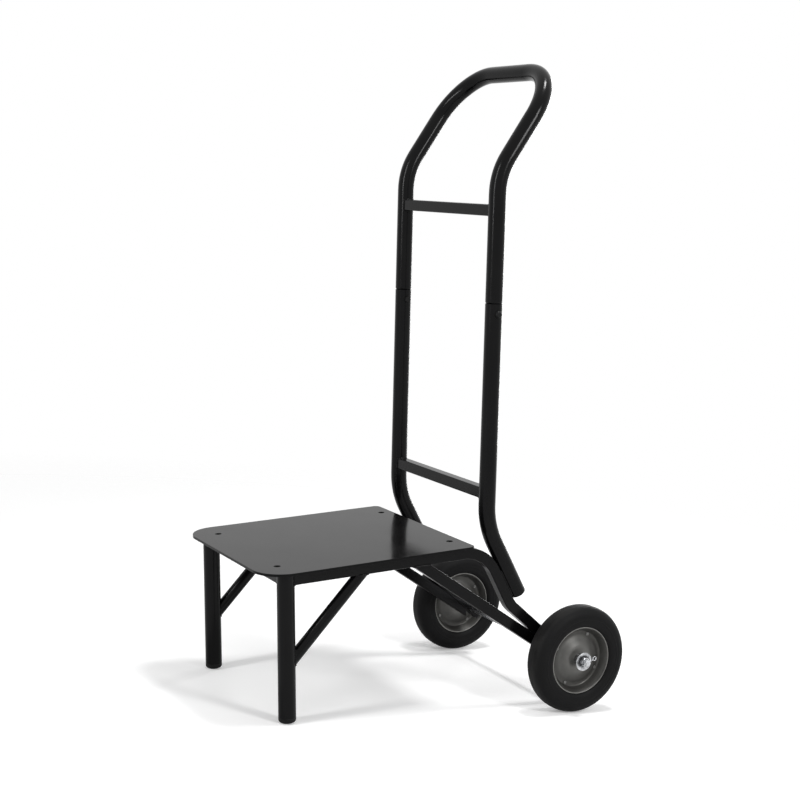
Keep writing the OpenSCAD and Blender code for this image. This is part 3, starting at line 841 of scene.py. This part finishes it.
@dataclass
class LoadPlate:
    """The screwed-down load plate, with rounded corners, softened edges and countersunk holes.

    Sizes in millimetres.
    """

    axes: PlateAxes
    width: float = 367.0
    depth: float = 415.0
    thickness: float = 4.6
    front_corner: float = 55.0
    rear_corner: float = 10.0
    edge_softness: float = 0.9
    edge_steps: int = 3
    hole_radius: float = 2.65
    hole_sides: int = 32
    sink_radius: float = 6.15
    sink_top: float = 0.9
    sink_bottom: float = 3.5

    def screw_places(self) -> list[Span]:
        """Finds the screws on the plate.

        Returns:
            Each screw's place to the right of the plate's middle and behind it.
        """
        inward = self.axes.matrix.inverted()
        places = []
        for side in Side:
            for end in ("front", "rear"):
                screw = frame["nodes"][f"screw_{end}_{side.name.lower()}"].data
                corners = [inward @ vert.co for vert in screw.vertices]
                spans = [[corner[axis] for corner in corners] for axis in (0, 1)]
                places.append(tuple((min(span) + max(span)) / 2 / MM for span in spans))
        return places

    def outline(self, shape: BMesh, height: float) -> list[BMEdge]:
        """Draws the plate's outline at a height.

        Args:
            shape: The bmesh to draw in.
            height: Height above the plate's top, in millimetres.

        Returns:
            The outline's edges.
        """
        half_width, half_depth = self.width / 2, self.depth / 2
        corners = [
            (-half_width, -half_depth, self.front_corner),
            (half_width, -half_depth, self.front_corner),
            (half_width, half_depth, self.rear_corner),
            (-half_width, half_depth, self.rear_corner),
        ]
        return section_wire(shape, corners, lambda x, y: Vector((x, y, height)) * MM)

    def ring(self, shape: BMesh, middle: Corner, radius: float) -> list[BMEdge]:
        """Draws a round edge.

        Args:
            shape: The bmesh to draw in.
            middle: Its middle in the plate's axes.
            radius: Its radius.

        Returns:
            The ring's edges.
        """
        place = Matrix.Translation(Vector(middle) * MM)
        circle = bmesh.ops.create_circle(shape, segments=self.hole_sides, radius=radius * MM, matrix=place)
        return list({edge for vert in circle["verts"] for edge in vert.link_edges})

    def build(self, material: Material) -> None:
        """Builds and dresses the plate.

        Args:
            material: Its finish.
        """
        shape = bmesh.new()
        top, bottom = self.outline(shape, 0.0), self.outline(shape, -self.thickness)
        upper, lower = list(top), list(bottom)
        levels = [
            (0.0, self.sink_radius),
            (-self.sink_top, self.sink_radius),
            (-self.sink_bottom, self.hole_radius),
            (-self.thickness, self.hole_radius),
        ]
        for place in self.screw_places():
            rings = [self.ring(shape, (*place, height), radius) for height, radius in levels]
            for ring, following in zip(rings, rings[1:]):
                bmesh.ops.bridge_loops(shape, edges=ring + following)
            upper += rings[0]
            lower += rings[-1]
        bmesh.ops.triangle_fill(shape, edges=upper, use_beauty=True, normal=(0, 0, 1))
        bmesh.ops.triangle_fill(shape, edges=lower, use_beauty=True, normal=(0, 0, -1))
        bmesh.ops.bridge_loops(shape, edges=top + bottom)
        bmesh.ops.recalc_face_normals(shape, faces=shape.faces)
        bmesh.ops.bevel(
            shape, geom=top + bottom, offset=self.edge_softness * MM, offset_type="OFFSET",
            segments=self.edge_steps, profile=0.5, affect="EDGES", material=-1, clamp_overlap=True,
        )
        bmesh.ops.transform(shape, matrix=self.axes.matrix, verts=shape.verts)
        add_piece("load_plate_sheet", shape, "frame", material, ["load_plate"])


@dataclass
class WeldSeams:
    """Rippled weld beads where one tube of the frame ends on another.

    Sizes in millimetres, and the angle of a sharp edge in radians.
    """

    bead: float = 1.5
    ripple: float = 0.3
    pitch: float = 2.8
    step: float = 0.7
    reach: float = 3.2
    apart: float = 4.0
    merge: float = 0.01
    sharp: float = 0.45
    sides: int = 8
    fewest_corners: int = 8
    fewest_steps: int = 24

    def joined(self, node: str) -> BMesh:
        """Copies a solid's mesh and merges its corners.

        Args:
            node: The solid's name.

        Returns:
            The copy.
        """
        shape = bmesh.new()
        shape.from_mesh(frame["nodes"][node].data)
        bmesh.ops.remove_doubles(shape, verts=shape.verts, dist=self.merge * MM)
        return shape

    def skin(self, nodes: Sequence[str]) -> Search:
        """Prepares a search for the closest point on a group of solids.

        Args:
            nodes: The solids' names.

        Returns:
            A function that gives the closest point to a point.
        """
        trees = []
        for node in nodes:
            solid = self.joined(node)
            trees.append(BVHTree.FromBMesh(solid))
            solid.free()

        def closest(point: Vector) -> Vector:
            """Closest point on the solids."""
            return min((tree.find_nearest(point) for tree in trees), key=lambda found: found[3])[0]

        return closest

    def edge_ways(self, shape: BMesh, closest: Search) -> dict[BMVert, list[BMVert]]:
        """Joins up the sharp edges that lie on the neighbours.

        Args:
            shape: The tube that ends.
            closest: Gives the closest point on its neighbours.

        Returns:
            Each corner's next corners.
        """
        folds = [edge for edge in shape.edges if len(edge.link_faces) == 2]
        sharp = [edge for edge in folds if edge.calc_face_angle() > self.sharp]
        corners = {vert for edge in sharp for vert in edge.verts}
        near = {vert for vert in corners if (closest(vert.co) - vert.co).length < self.reach * MM}
        ways: dict[BMVert, list[BMVert]] = {}
        for one, other in (edge.verts for edge in sharp):
            if one in near and other in near:
                ways.setdefault(one, []).append(other)
                ways.setdefault(other, []).append(one)
        return ways

    def contact_loops(self, node: str, closest: Search) -> list[list[Vector]]:
        """Finds the outer edge loops of a solid that lie on its neighbours.

        Args:
            node: The tube that ends.
            closest: Gives the closest point on its neighbours.

        Returns:
            The points of each loop.
        """
        shape = self.joined(node)
        ways = self.edge_ways(shape, closest)
        loops, seen = [], set()
        for start in sorted(ways, key=lambda vert: vert.index):
            chain: list[BMVert] = []
            here = start if start not in seen else None
            while here is not None:
                seen.add(here)
                chain.append(here)
                here = next((vert for vert in ways[here] if vert not in seen), None)
            if len(chain) >= self.fewest_corners and chain[0] in ways[chain[-1]]:
                loops.append([vert.co.copy() for vert in chain])
        shape.free()
        outer: list[list[Vector]] = []
        for loop in sorted(loops, key=self.length, reverse=True):
            middle = self.middle(loop)
            if all((middle - self.middle(other)).length > self.apart * MM for other in outer):
                outer.append(loop)
        return outer

    @staticmethod
    def middle(loop: Sequence[Vector]) -> Vector:
        """Mean of a loop's points."""
        return sum(loop, Vector()) / len(loop)

    @staticmethod
    def length(loop: Sequence[Vector]) -> float:
        """Length round a loop."""
        return sum((one - other).length for one, other in zip(loop, list(loop[1:]) + [loop[0]]))

    def even(self, loop: Sequence[Vector]) -> list[Vector]:
        """Points at even steps round a loop.

        Args:
            loop: The loop's points.

        Returns:
            The new points.
        """
        count = max(self.fewest_steps, round(self.length(loop) / (self.step * MM)))
        stride = self.length(loop) / count
        points, left = [], 0.0
        for one, other in zip(loop, list(loop[1:]) + [loop[0]]):
            span = (other - one).length
            while left < span and len(points) < count:
                points.append(one.lerp(other, left / span))
                left += stride
            left -= span
        return points

    def lay(self, shape: BMesh, loop: Sequence[Vector], closest: Search) -> None:
        """Lays a bead round a loop, thicker where it fills a gap.

        Args:
            shape: The bmesh to draw in.
            loop: The loop's points.
            closest: Gives the closest point on the tube's neighbours.
        """
        points = self.even(loop)
        waves = max(1, round(len(points) * self.step / self.pitch))
        path, radii = [], []
        for index, point in enumerate(points):
            spot = closest(point)
            swell = self.ripple * abs(math.sin(math.pi * waves * index / len(points)))
            path.append(point.lerp(spot, 0.5))
            radii.append((self.bead + swell) * MM + (spot - point).length / 2)
        sweep_tube(shape, path, radii, self.sides, True)

    def build(self, name: str, joints: Sequence[tuple[str, Sequence[str]]], material: Material) -> None:
        """Builds the beads of a group of joints as one piece.

        Args:
            name: The piece's name.
            joints: Each tube that ends, with the solids it ends on.
            material: The beads' finish.
        """
        shape = bmesh.new()
        for node, others in joints:
            closest = self.skin(others)
            loops = self.contact_loops(node, closest)
            for loop in loops:
                self.lay(shape, loop, closest)
            LOG.info("%s: %d beads on %s", name, len(loops), node)
        add_piece(name, shape, "frame", material, crease=70.0)


@dataclass
class TubeFrame:
    """The welded tube frame with its uprights, crossbars and handle."""

    seams: WeldSeams

    def dress(self, palette: Palette) -> None:
        """Dresses the frame's solids.

        Args:
            palette: The trolley's materials.
        """
        for node in ("front_cross_rail", "rear_cross_rail", "lower_crossbar", "upper_crossbar", "handle"):
            dress_node(node, palette.frame_coat)
        for node in ("screw_front_left", "screw_front_right", "screw_rear_left", "screw_rear_right"):
            dress_node(node, palette.screw)
        tubes = ("side_rail", "front_leg", "leg_brace", "rear_strut", "lower_upright")
        for side in Side:
            for name in (*tubes, "upright_weld"):
                dress_node(side.node(name), palette.frame_coat)
            for name in ("joint_bolt", "joint_nut"):
                dress_node(side.node(name), palette.bolt)
            for name in ("leg_foot", "upright_plug", "rail_plug"):
                dress_node(side.node(name), palette.plastic)

    def build(self, coat: Material) -> None:
        """Adds the weld seams.

        Args:
            coat: Finish of the tubes.
        """
        legs = [side.node("front_leg") for side in Side]
        rails = [side.node("side_rail") for side in Side]
        uprights = [side.node("lower_upright") for side in Side]
        crossbars = [("lower_crossbar", uprights), ("upper_crossbar", ["handle"])]
        cross_rails = [("front_cross_rail", legs), ("rear_cross_rail", rails)]
        self.seams.build("crossbar_seams", crossbars, coat)
        self.seams.build("cross_rail_seams", cross_rails, coat)
        for side in Side:
            leg, rail = side.node("front_leg"), side.node("side_rail")
            brace, strut = side.node("leg_brace"), side.node("rear_strut")
            joints = [(rail, [leg]), (brace, [leg]), (brace, [rail]), (strut, [rail])]
            self.seams.build(side.node("rail_seams"), joints, coat)


@dataclass
class Wheel:
    """A rubber-tyred wheel with a pressed two-part rim. Sizes in millimetres."""

    side: Side
    centre: Vector
    steps: int = 128
    tyre_radius: float = 101.6
    tyre_half: float = 23.0
    tongue_radius: float = 56.0
    tongue_half: float = 2.2
    lip_tuck: Span = (0.4, 1.2)
    bore: float = 63.65
    heel: float = 8.9
    shoulder: float = 18.5
    rib: Span = (78.0, 80.5)
    rib_height: float = 0.35
    rib_slope: float = 0.5
    rib_foot: float = 0.3
    rib_crown: float = 0.2
    parting_half: float = 0.7
    parting_height: float = 0.2
    sheet: float = 1.6
    lip_radius: float = 62.7
    lip_offset: float = 15.7
    roll: float = 1.9
    roll_sides: int = 20
    seam_outer: float = 54.5
    seam_inner: float = 46.0
    dish_radius: float = 25.0
    dish_offset: float = 9.5
    hub_radius: float = 12.0
    bends: tuple[float, ...] = (0.0, 3.2, 3.0, 2.0, 0.0)

    def at(self, radius: float, offset: float) -> Vector:
        """Point above the hub at a radius and an offset outward from the wheel's middle plane."""
        return self.centre + Vector((self.side.value * offset, 0.0, radius)) * MM

    def build_tyre(self, material: Material) -> None:
        """Builds the tyre with a sidewall rib and a parting line.

        Args:
            material: The rubber.
        """
        half, outer = self.tyre_half, self.tyre_radius
        rib_inner, rib_outer = self.rib
        rise = [
            (self.tongue_radius, self.tongue_half, 0.0),
            (self.lip_radius - self.lip_tuck[0], self.lip_offset - self.lip_tuck[1], 0.0),
            (self.bore, half, self.heel),
            (rib_inner, half, self.rib_foot),
            (rib_inner + self.rib_slope, half + self.rib_height, self.rib_crown),
            (rib_outer - self.rib_slope, half + self.rib_height, self.rib_crown),
            (rib_outer, half, self.rib_foot),
            (outer, half, self.shoulder),
            (outer, self.parting_half, 0.0),
            (outer + self.parting_height, 0.0, 0.0),
        ]
        fall = [(radius, -offset, setback) for radius, offset, setback in reversed(rise[:-1])]
        shape = bmesh.new()
        section_wire(shape, rise + fall, self.at)
        revolve(shape, self.centre, self.steps)
        name = self.side.node("tyre")
        add_piece(f"{name}_rubber", shape, self.side.wheel, material, [name], crease=50.0)

    def rim_line(self, lift: float) -> list[Span]:
        """A rim half's bends, from the hub to the lip.

        Args:
            lift: Distance outward from the sheet's back face.

        Returns:
            Each bend's radius and offset.
        """
        back = [
            Vector((self.hub_radius, self.dish_offset)),
            Vector((self.dish_radius, self.dish_offset)),
            Vector((self.seam_inner, 0.0)),
            Vector((self.seam_outer, 0.0)),
            Vector((self.lip_radius, self.lip_offset)),
        ]
        runs = [following - point for point, following in zip(back, back[1:])]
        sides = [Vector((-run.y, run.x)).normalized() for run in runs]
        line = [back[0] + lift * sides[0]]
        for point, one, other in zip(back[1:], sides, sides[1:]):
            line.append(point + lift * (one + other) / (1 + one.dot(other)))
        line.append(back[-1] + lift * sides[-1])
        return [(point.x, point.y) for point in line]

    def build_rim(self, facing: Facing, material: Material) -> None:
        """Builds half of the rim, with rounded bends and a rolled lip.

        Args:
            facing: Which half.
            material: The enamel.
        """
        back, front = self.rim_line(0.0), self.rim_line(self.sheet)
        section = [(*point, bend) for point, bend in zip(back, self.bends)]
        section += [(*point, bend) for point, bend in zip(reversed(front), reversed(self.bends))]

        def place(radius: float, offset: float) -> Vector:
            """Point of this half."""
            return self.at(radius, offset * facing.value)

        shape = bmesh.new()
        section_wire(shape, section, place)
        turn = Matrix.Rotation(math.pi / 2, 4, "X")
        lip = Matrix.Translation(place(self.lip_radius, self.lip_offset)) @ turn
        bmesh.ops.create_circle(shape, segments=self.roll_sides, radius=self.roll * MM, matrix=lip)
        revolve(shape, self.centre, self.steps)
        node = self.side.node(f"rim_{facing.name.lower()}")
        add_piece(f"{node}_pressing", shape, self.side.wheel, material, [node])

    def build(self, palette: Palette) -> None:
        """Builds the tyre and both halves of the rim.

        Args:
            palette: The trolley's materials.
        """
        self.build_tyre(palette.rubber)
        for facing in Facing:
            self.build_rim(facing, palette.enamel)

    def dress(self, palette: Palette) -> None:
        """Dresses the wheel's remaining solids.

        Args:
            palette: The trolley's materials.
        """
        dress_node(self.side.node("rim_rivets"), palette.rivet)
        dress_node(self.side.node("hub"), palette.zinc)
        for name in ("bush_outer", "bush_inner"):
            dress_node(self.side.node(name), palette.bush)


@dataclass
class AxleSet:
    """The fixed axle with its washers, nuts and split pins. Sizes in millimetres, angles in degrees."""

    centre: Vector
    radius: float = 6.35
    chamfer: float = 0.9
    axle_steps: int = 48
    bore_gap: float = 0.02
    washer_edges: Corner = (0.35, 0.5, 0.35)
    washer_steps: int = 64
    nut_width: float = 19.0
    nut_chamfer: float = 0.94
    nut_break: float = 0.6
    nut_slope: float = 30.0
    nut_steps: int = 72
    thread_pitch: float = 1.5
    thread_depth: float = 0.35
    thread_root: float = 0.3
    thread_gap: float = 0.1
    thread_steps: int = 36
    pin_wire: float = 0.936
    pin_sides: int = 10
    pin_reach: float = 18.0
    pin_eye: float = 3.6
    pin_rise: float = 28.76
    eye_sweep: float = 380.0
    eye_steps: int = 20
    pin_leg: tuple[Span, ...] = (
        (-11.5, 3.4), (-10.0, 1.6), (-8.4, 0.75), (-7.2, 0.5),
        (0.0, 0.45), (8.0, 0.45), (12.6, 0.5), (13.6, 0.75),
    )

    def at(self, radius: float, along: float) -> Vector:
        """Point above the axle at a radius and a place along X."""
        return Vector((along, self.centre.y / MM, self.centre.z / MM + radius)) * MM

    @staticmethod
    def span(node: str) -> Span:
        """A node's first and last place along X, in millimetres."""
        low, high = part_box(node)
        return low.x / MM, high.x / MM

    def build_axle(self, material: Material) -> None:
        """Builds the axle with chamfered ends.

        Args:
            material: The plating.
        """
        start, end = self.span("axle")
        tip = self.radius - self.chamfer
        section = [
            (0.0, start, 0.0),
            (tip, start, 0.0),
            (self.radius, start + self.chamfer, 0.0),
            (self.radius, end - self.chamfer, 0.0),
            (tip, end, 0.0),
            (0.0, end, 0.0),
        ]
        shape = bmesh.new()
        section_wire(shape, section, self.at, closed=False)
        revolve(shape, self.centre, self.axle_steps)
        add_piece("axle_rod", shape, "frame", material, ["axle"], crease=25.0)

    def build_thread(self, side: Side, material: Material) -> None:
        """Builds the thread that shows past a nut.

        Args:
            side: Which end of the axle.
            material: The plating.
        """
        way = side.value
        face = max(self.span(side.node("axle_nut")), key=abs)
        tip = max(self.span("axle"), key=lambda place: way * place)
        run = abs(tip - way * self.chamfer - face) - self.thread_pitch
        root, crest = self.radius - self.thread_root, self.radius + self.thread_depth
        start = face + way * self.thread_gap
        section = [
            (root, start, 0.0),
            (crest, start + way * self.thread_pitch / 2, 0.0),
            (root, start + way * self.thread_pitch, 0.0),
        ]
        shape = bmesh.new()
        section_wire(shape, section, self.at)
        bmesh.ops.contextual_create(shape, geom=shape.edges[:])
        turns = run / self.thread_pitch
        steps = max(1, round(self.thread_steps * turns))
        bmesh.ops.spin(
            shape, geom=shape.faces[:], cent=self.centre, axis=(1, 0, 0), angle=FULL_TURN * turns,
            steps=steps, dvec=(way * run * MM / steps, 0, 0), use_merge=False,
        )
        bmesh.ops.recalc_face_normals(shape, faces=shape.faces)
        add_piece(side.node("axle_thread"), shape, "frame", material, crease=25.0)

    def build_washer(self, side: Side, material: Material) -> None:
        """Builds a stamped washer with a rounded edge.

        Args:
            side: Which end of the axle.
            material: The plating.
        """
        node = side.node("washer")
        start, end = self.span(node)
        low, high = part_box(node)
        outer = (high.z - low.z) / 2 / MM
        bore = self.radius + self.bore_gap
        first, second, third = self.washer_edges
        section = [(bore, start, 0.0), (outer, start, first), (outer, end, second), (bore, end, third)]
        shape = bmesh.new()
        section_wire(shape, section, self.at)
        revolve(shape, self.centre, self.washer_steps)
        add_piece(f"{node}_disc", shape, "frame", material, [node], crease=25.0)

    def build_nut(self, side: Side, material: Material) -> None:
        """Builds a hexagon nut with turned chamfers.

        Args:
            side: Which end of the axle.
            material: The plating.
        """
        node = side.node("axle_nut")
        start, end = self.span(node)
        flat = self.nut_width / 2
        crown = flat * self.nut_chamfer
        bore = self.radius + self.bore_gap
        section = [
            (bore, start, 0.0),
            (crown, start, 0.0),
            (flat, start, 0.0),
            (flat, end, 0.0),
            (crown, end, 0.0),
            (bore + self.nut_break, end, 0.0),
            (bore, end - self.nut_break, 0.0),
        ]
        shape = bmesh.new()
        section_wire(shape, section, self.at)
        revolve(shape, self.centre, self.nut_steps)
        # The outermost ring is pushed out to a hexagon, and drops where it passes the crown.
        outermost = 0.99 * flat * MM
        sector = math.radians(60)
        slope = math.tan(math.radians(self.nut_slope))
        for vert in shape.verts:
            spoke = Vector((0.0, vert.co.y - self.centre.y, vert.co.z - self.centre.z))
            if spoke.length < outermost:
                continue
            corner = math.remainder(math.atan2(spoke.z, spoke.y) - sector / 2, sector)
            reach = flat / math.cos(corner)
            drop = (reach - crown) * slope
            inward = 1 if abs(vert.co.x - start * MM) < abs(vert.co.x - end * MM) else -1
            vert.co += Vector((inward * drop * MM, 0.0, 0.0)) + spoke.normalized() * (reach - flat) * MM
        add_piece(f"{node}_hexagon", shape, "frame", material, [node], crease=22.0)

    def build_pin(self, side: Side, material: Material) -> None:
        """Builds a split pin: a ring-shaped eye and two legs, bent apart past the axle.

        Args:
            side: Which end of the axle.
            material: The plating.
        """
        node = side.node("split_pin")
        start, end = self.span(node)
        middle = Vector(((start + end) / 2 * MM, self.centre.y, self.centre.z))
        rise = math.radians(self.pin_rise)
        out = Vector((0.0, math.cos(rise), math.sin(rise)))
        across = Vector((0.0, -math.sin(rise), math.cos(rise)))

        def place(along: float, aside: float) -> Vector:
            """Point along the pin and aside of it."""
            return middle + (out * along + across * aside) * MM

        upper = [place(along, aside) for along, aside in self.pin_leg]
        lower = [place(along, -aside) for along, aside in reversed(self.pin_leg)]
        eye = []
        for index in range(1, self.eye_steps):
            angle = math.radians(self.eye_sweep * (0.5 - index / self.eye_steps))
            along = self.pin_reach + self.pin_eye * math.cos(angle)
            eye.append(place(along, -self.pin_eye * math.sin(angle)))
        path = upper + eye + lower
        shape = bmesh.new()
        sweep_tube(shape, path, [self.pin_wire * MM] * len(path), self.pin_sides, False)
        add_piece(f"{node}_wire", shape, "frame", material, [node], crease=50.0)

    def build(self, zinc: Material) -> None:
        """Builds the axle and what is on its ends.

        Args:
            zinc: The plating.
        """
        self.build_axle(zinc)
        for side in Side:
            self.build_washer(side, zinc)
            self.build_nut(side, zinc)
            self.build_thread(side, zinc)
            self.build_pin(side, zinc)
            dress_node(side.node("spacer"), zinc)


@dataclass(frozen=True)
class SoftBox:
    """A rectangular studio lamp. Sizes in metres, power in watts."""

    name: str
    place: Corner
    width: float
    height: float
    power: float

    def build(self, aim: Vector) -> None:
        """Adds the lamp to the scene.

        Args:
            aim: The point that it faces.
        """
        lamp = bpy.data.lights.new(self.name, "AREA")
        lamp.shape = "RECTANGLE"
        lamp.size = self.width
        lamp.size_y = self.height
        lamp.energy = self.power
        stand = bpy.data.objects.new(self.name, lamp)
        stand.location = self.place
        stand.rotation_euler = (aim - Vector(self.place)).to_track_quat("-Z", "Y").to_euler()
        bpy.context.scene.collection.objects.link(stand)


@dataclass(frozen=True)
class Studio:
    """Pale floor, white surroundings and soft lamps. Sizes in metres."""

    floor_radius: float = 2.6
    floor_sides: int = 96
    floor_gap: float = 0.0004
    floor_shade: Colour = (0.93, 0.93, 0.93)
    floor_roughness: float = 0.9
    floor_specular: float = 0.1
    fade_start: float = 0.9
    lift: float = 0.22
    ambient: float = 0.4
    aim: Corner = (0.0, 0.0, 0.45)
    lamps: tuple[SoftBox, ...] = (
        SoftBox("front_strip", (0.65, -2.9, 1.5), width=0.3, height=2.2, power=42.0),
        SoftBox("side_softbox", (2.5, 0.8, 1.9), width=0.55, height=0.9, power=36.0),
        SoftBox("rear_strip", (-1.9, 2.6, 1.05), width=0.35, height=1.9, power=24.0),
        SoftBox("top_softbox", (0.25, 0.5, 3.3), width=0.55, height=0.55, power=40.0),
    )

    def floor_material(self) -> Material:
        """Builds a pale finish that fades out toward the floor's edge and is clear from below.

        Returns:
            The material.
        """
        surface = Surface("pale_floor")
        away = surface.add("ShaderNodeVectorMath", {0: surface.where()}, operation="LENGTH").outputs["Value"]
        above = surface.math("SUBTRACT", 1.0, surface.add("ShaderNodeNewGeometry").outputs["Backfacing"])
        fade = surface.ramp(away, (self.floor_radius, self.fade_start))
        surface.give("Alpha", surface.math("MULTIPLY", fade, above))
        seen = surface.add("ShaderNodeLightPath").outputs["Is Camera Ray"]
        surface.give("Emission Strength", surface.math("MULTIPLY", seen, self.lift))
        surface.give("Emission Color", WHITE)
        surface.give("Base Color", (*self.floor_shade, 1.0))
        surface.give("Roughness", self.floor_roughness)
        surface.give("Specular IOR Level", self.floor_specular)
        return surface.material

    def build_floor(self) -> None:
        """Adds a round floor just under the trolley."""
        shape = bmesh.new()
        drop = Matrix.Translation((0.0, 0.0, -self.floor_gap))
        bmesh.ops.create_circle(
            shape, cap_ends=True, segments=self.floor_sides, radius=self.floor_radius, matrix=drop,
        )
        mesh = bpy.data.meshes.new("floor")
        shape.to_mesh(mesh)
        shape.free()
        mesh.materials.append(self.floor_material())
        floor = bpy.data.objects.new("floor", mesh)
        bpy.context.scene.collection.objects.link(floor)

    def build_world(self) -> None:
        """Sets surroundings that are white to the camera and in reflections, and softer as light."""
        world = bpy.data.worlds.new("studio")
        world.use_nodes = True
        graph = Graph(world.node_tree)
        world.node_tree.nodes.clear()
        path = graph.add("ShaderNodeLightPath").outputs
        mirrored = graph.math("ADD", path["Is Glossy Ray"], path["Is Transmission Ray"])
        seen = graph.math("ADD", path["Is Camera Ray"], mirrored)
        level = graph.ramp(seen, (0.0, 1.0), (self.ambient, 1.0))
        back = graph.add("ShaderNodeBackground", {"Color": WHITE, "Strength": level})
        graph.add("ShaderNodeOutputWorld", {"Surface": back.outputs[0]})
        bpy.context.scene.world = world

    def build(self) -> None:
        """Builds the floor, the world and the lamps."""
        self.build_floor()
        self.build_world()
        for lamp in self.lamps:
            lamp.build(Vector(self.aim))


@dataclass(frozen=True)
class PhotoCamera:
    """Camera at the photograph's place, given in the plate's axes.

    Place in millimetres, angles in degrees, focal length, middle and image in pixels.
    """

    place: Corner = (2437.6, -1238.9, 707.0)
    azimuth: float = 60.71
    pitch: float = 9.445
    focal: float = 1530.65
    middle: Span = (387.97, 402.71)
    image: float = 800.0
    sensor: float = 36.0

    def build(self, axes: PlateAxes) -> None:
        """Adds the camera and makes it the scene's own.

        Args:
            axes: The plate's axes.
        """
        data = bpy.data.cameras.new("photo_camera")
        data.sensor_width = self.sensor
        data.lens = self.sensor * self.focal / self.image
        data.shift_x = 0.5 - self.middle[0] / self.image
        data.shift_y = self.middle[1] / self.image - 0.5
        turn, rise = math.radians(self.azimuth), math.radians(self.pitch)
        back = Vector((math.sin(turn) * math.cos(rise), -math.cos(turn) * math.cos(rise), math.sin(rise)))
        aim = (-back).to_track_quat("-Z", "Y").to_matrix().to_4x4()
        camera = bpy.data.objects.new("photo_camera", data)
        bpy.context.scene.collection.objects.link(camera)
        camera.matrix_world = axes.matrix @ Matrix.Translation(Vector(self.place) * MM) @ aim
        bpy.context.scene.camera = camera


def main() -> None:
    """Builds the trolley's pieces, its studio and the camera in order."""
    logging.basicConfig(level=logging.INFO, format="%(name)s: %(message)s", stream=sys.stdout)
    record = frame["record"]
    axes = PlateAxes.from_record(record)
    joints = {joint["child"]: joint for joint in record["behaviour"]["joints"]}
    hubs = {side: Vector(joints[side.wheel]["pos_m"]) for side in Side}
    palette = Palette.around(hubs[Side.RIGHT])
    PhotoCamera().build(axes)
    Studio().build()
    LoadPlate(axes).build(palette.plate_coat)
    tubes = TubeFrame(WeldSeams())
    tubes.dress(palette)
    tubes.build(palette.frame_coat)
    for side in Side:
        wheel = Wheel(side, hubs[side])
        wheel.build(palette)
        wheel.dress(palette)
    AxleSet(hubs[Side.RIGHT]).build(palette.zinc)
    bpy.context.scene.view_settings.view_transform = "Standard"
    bpy.context.view_layer.update()


if __name__ == "__main__":
    main()
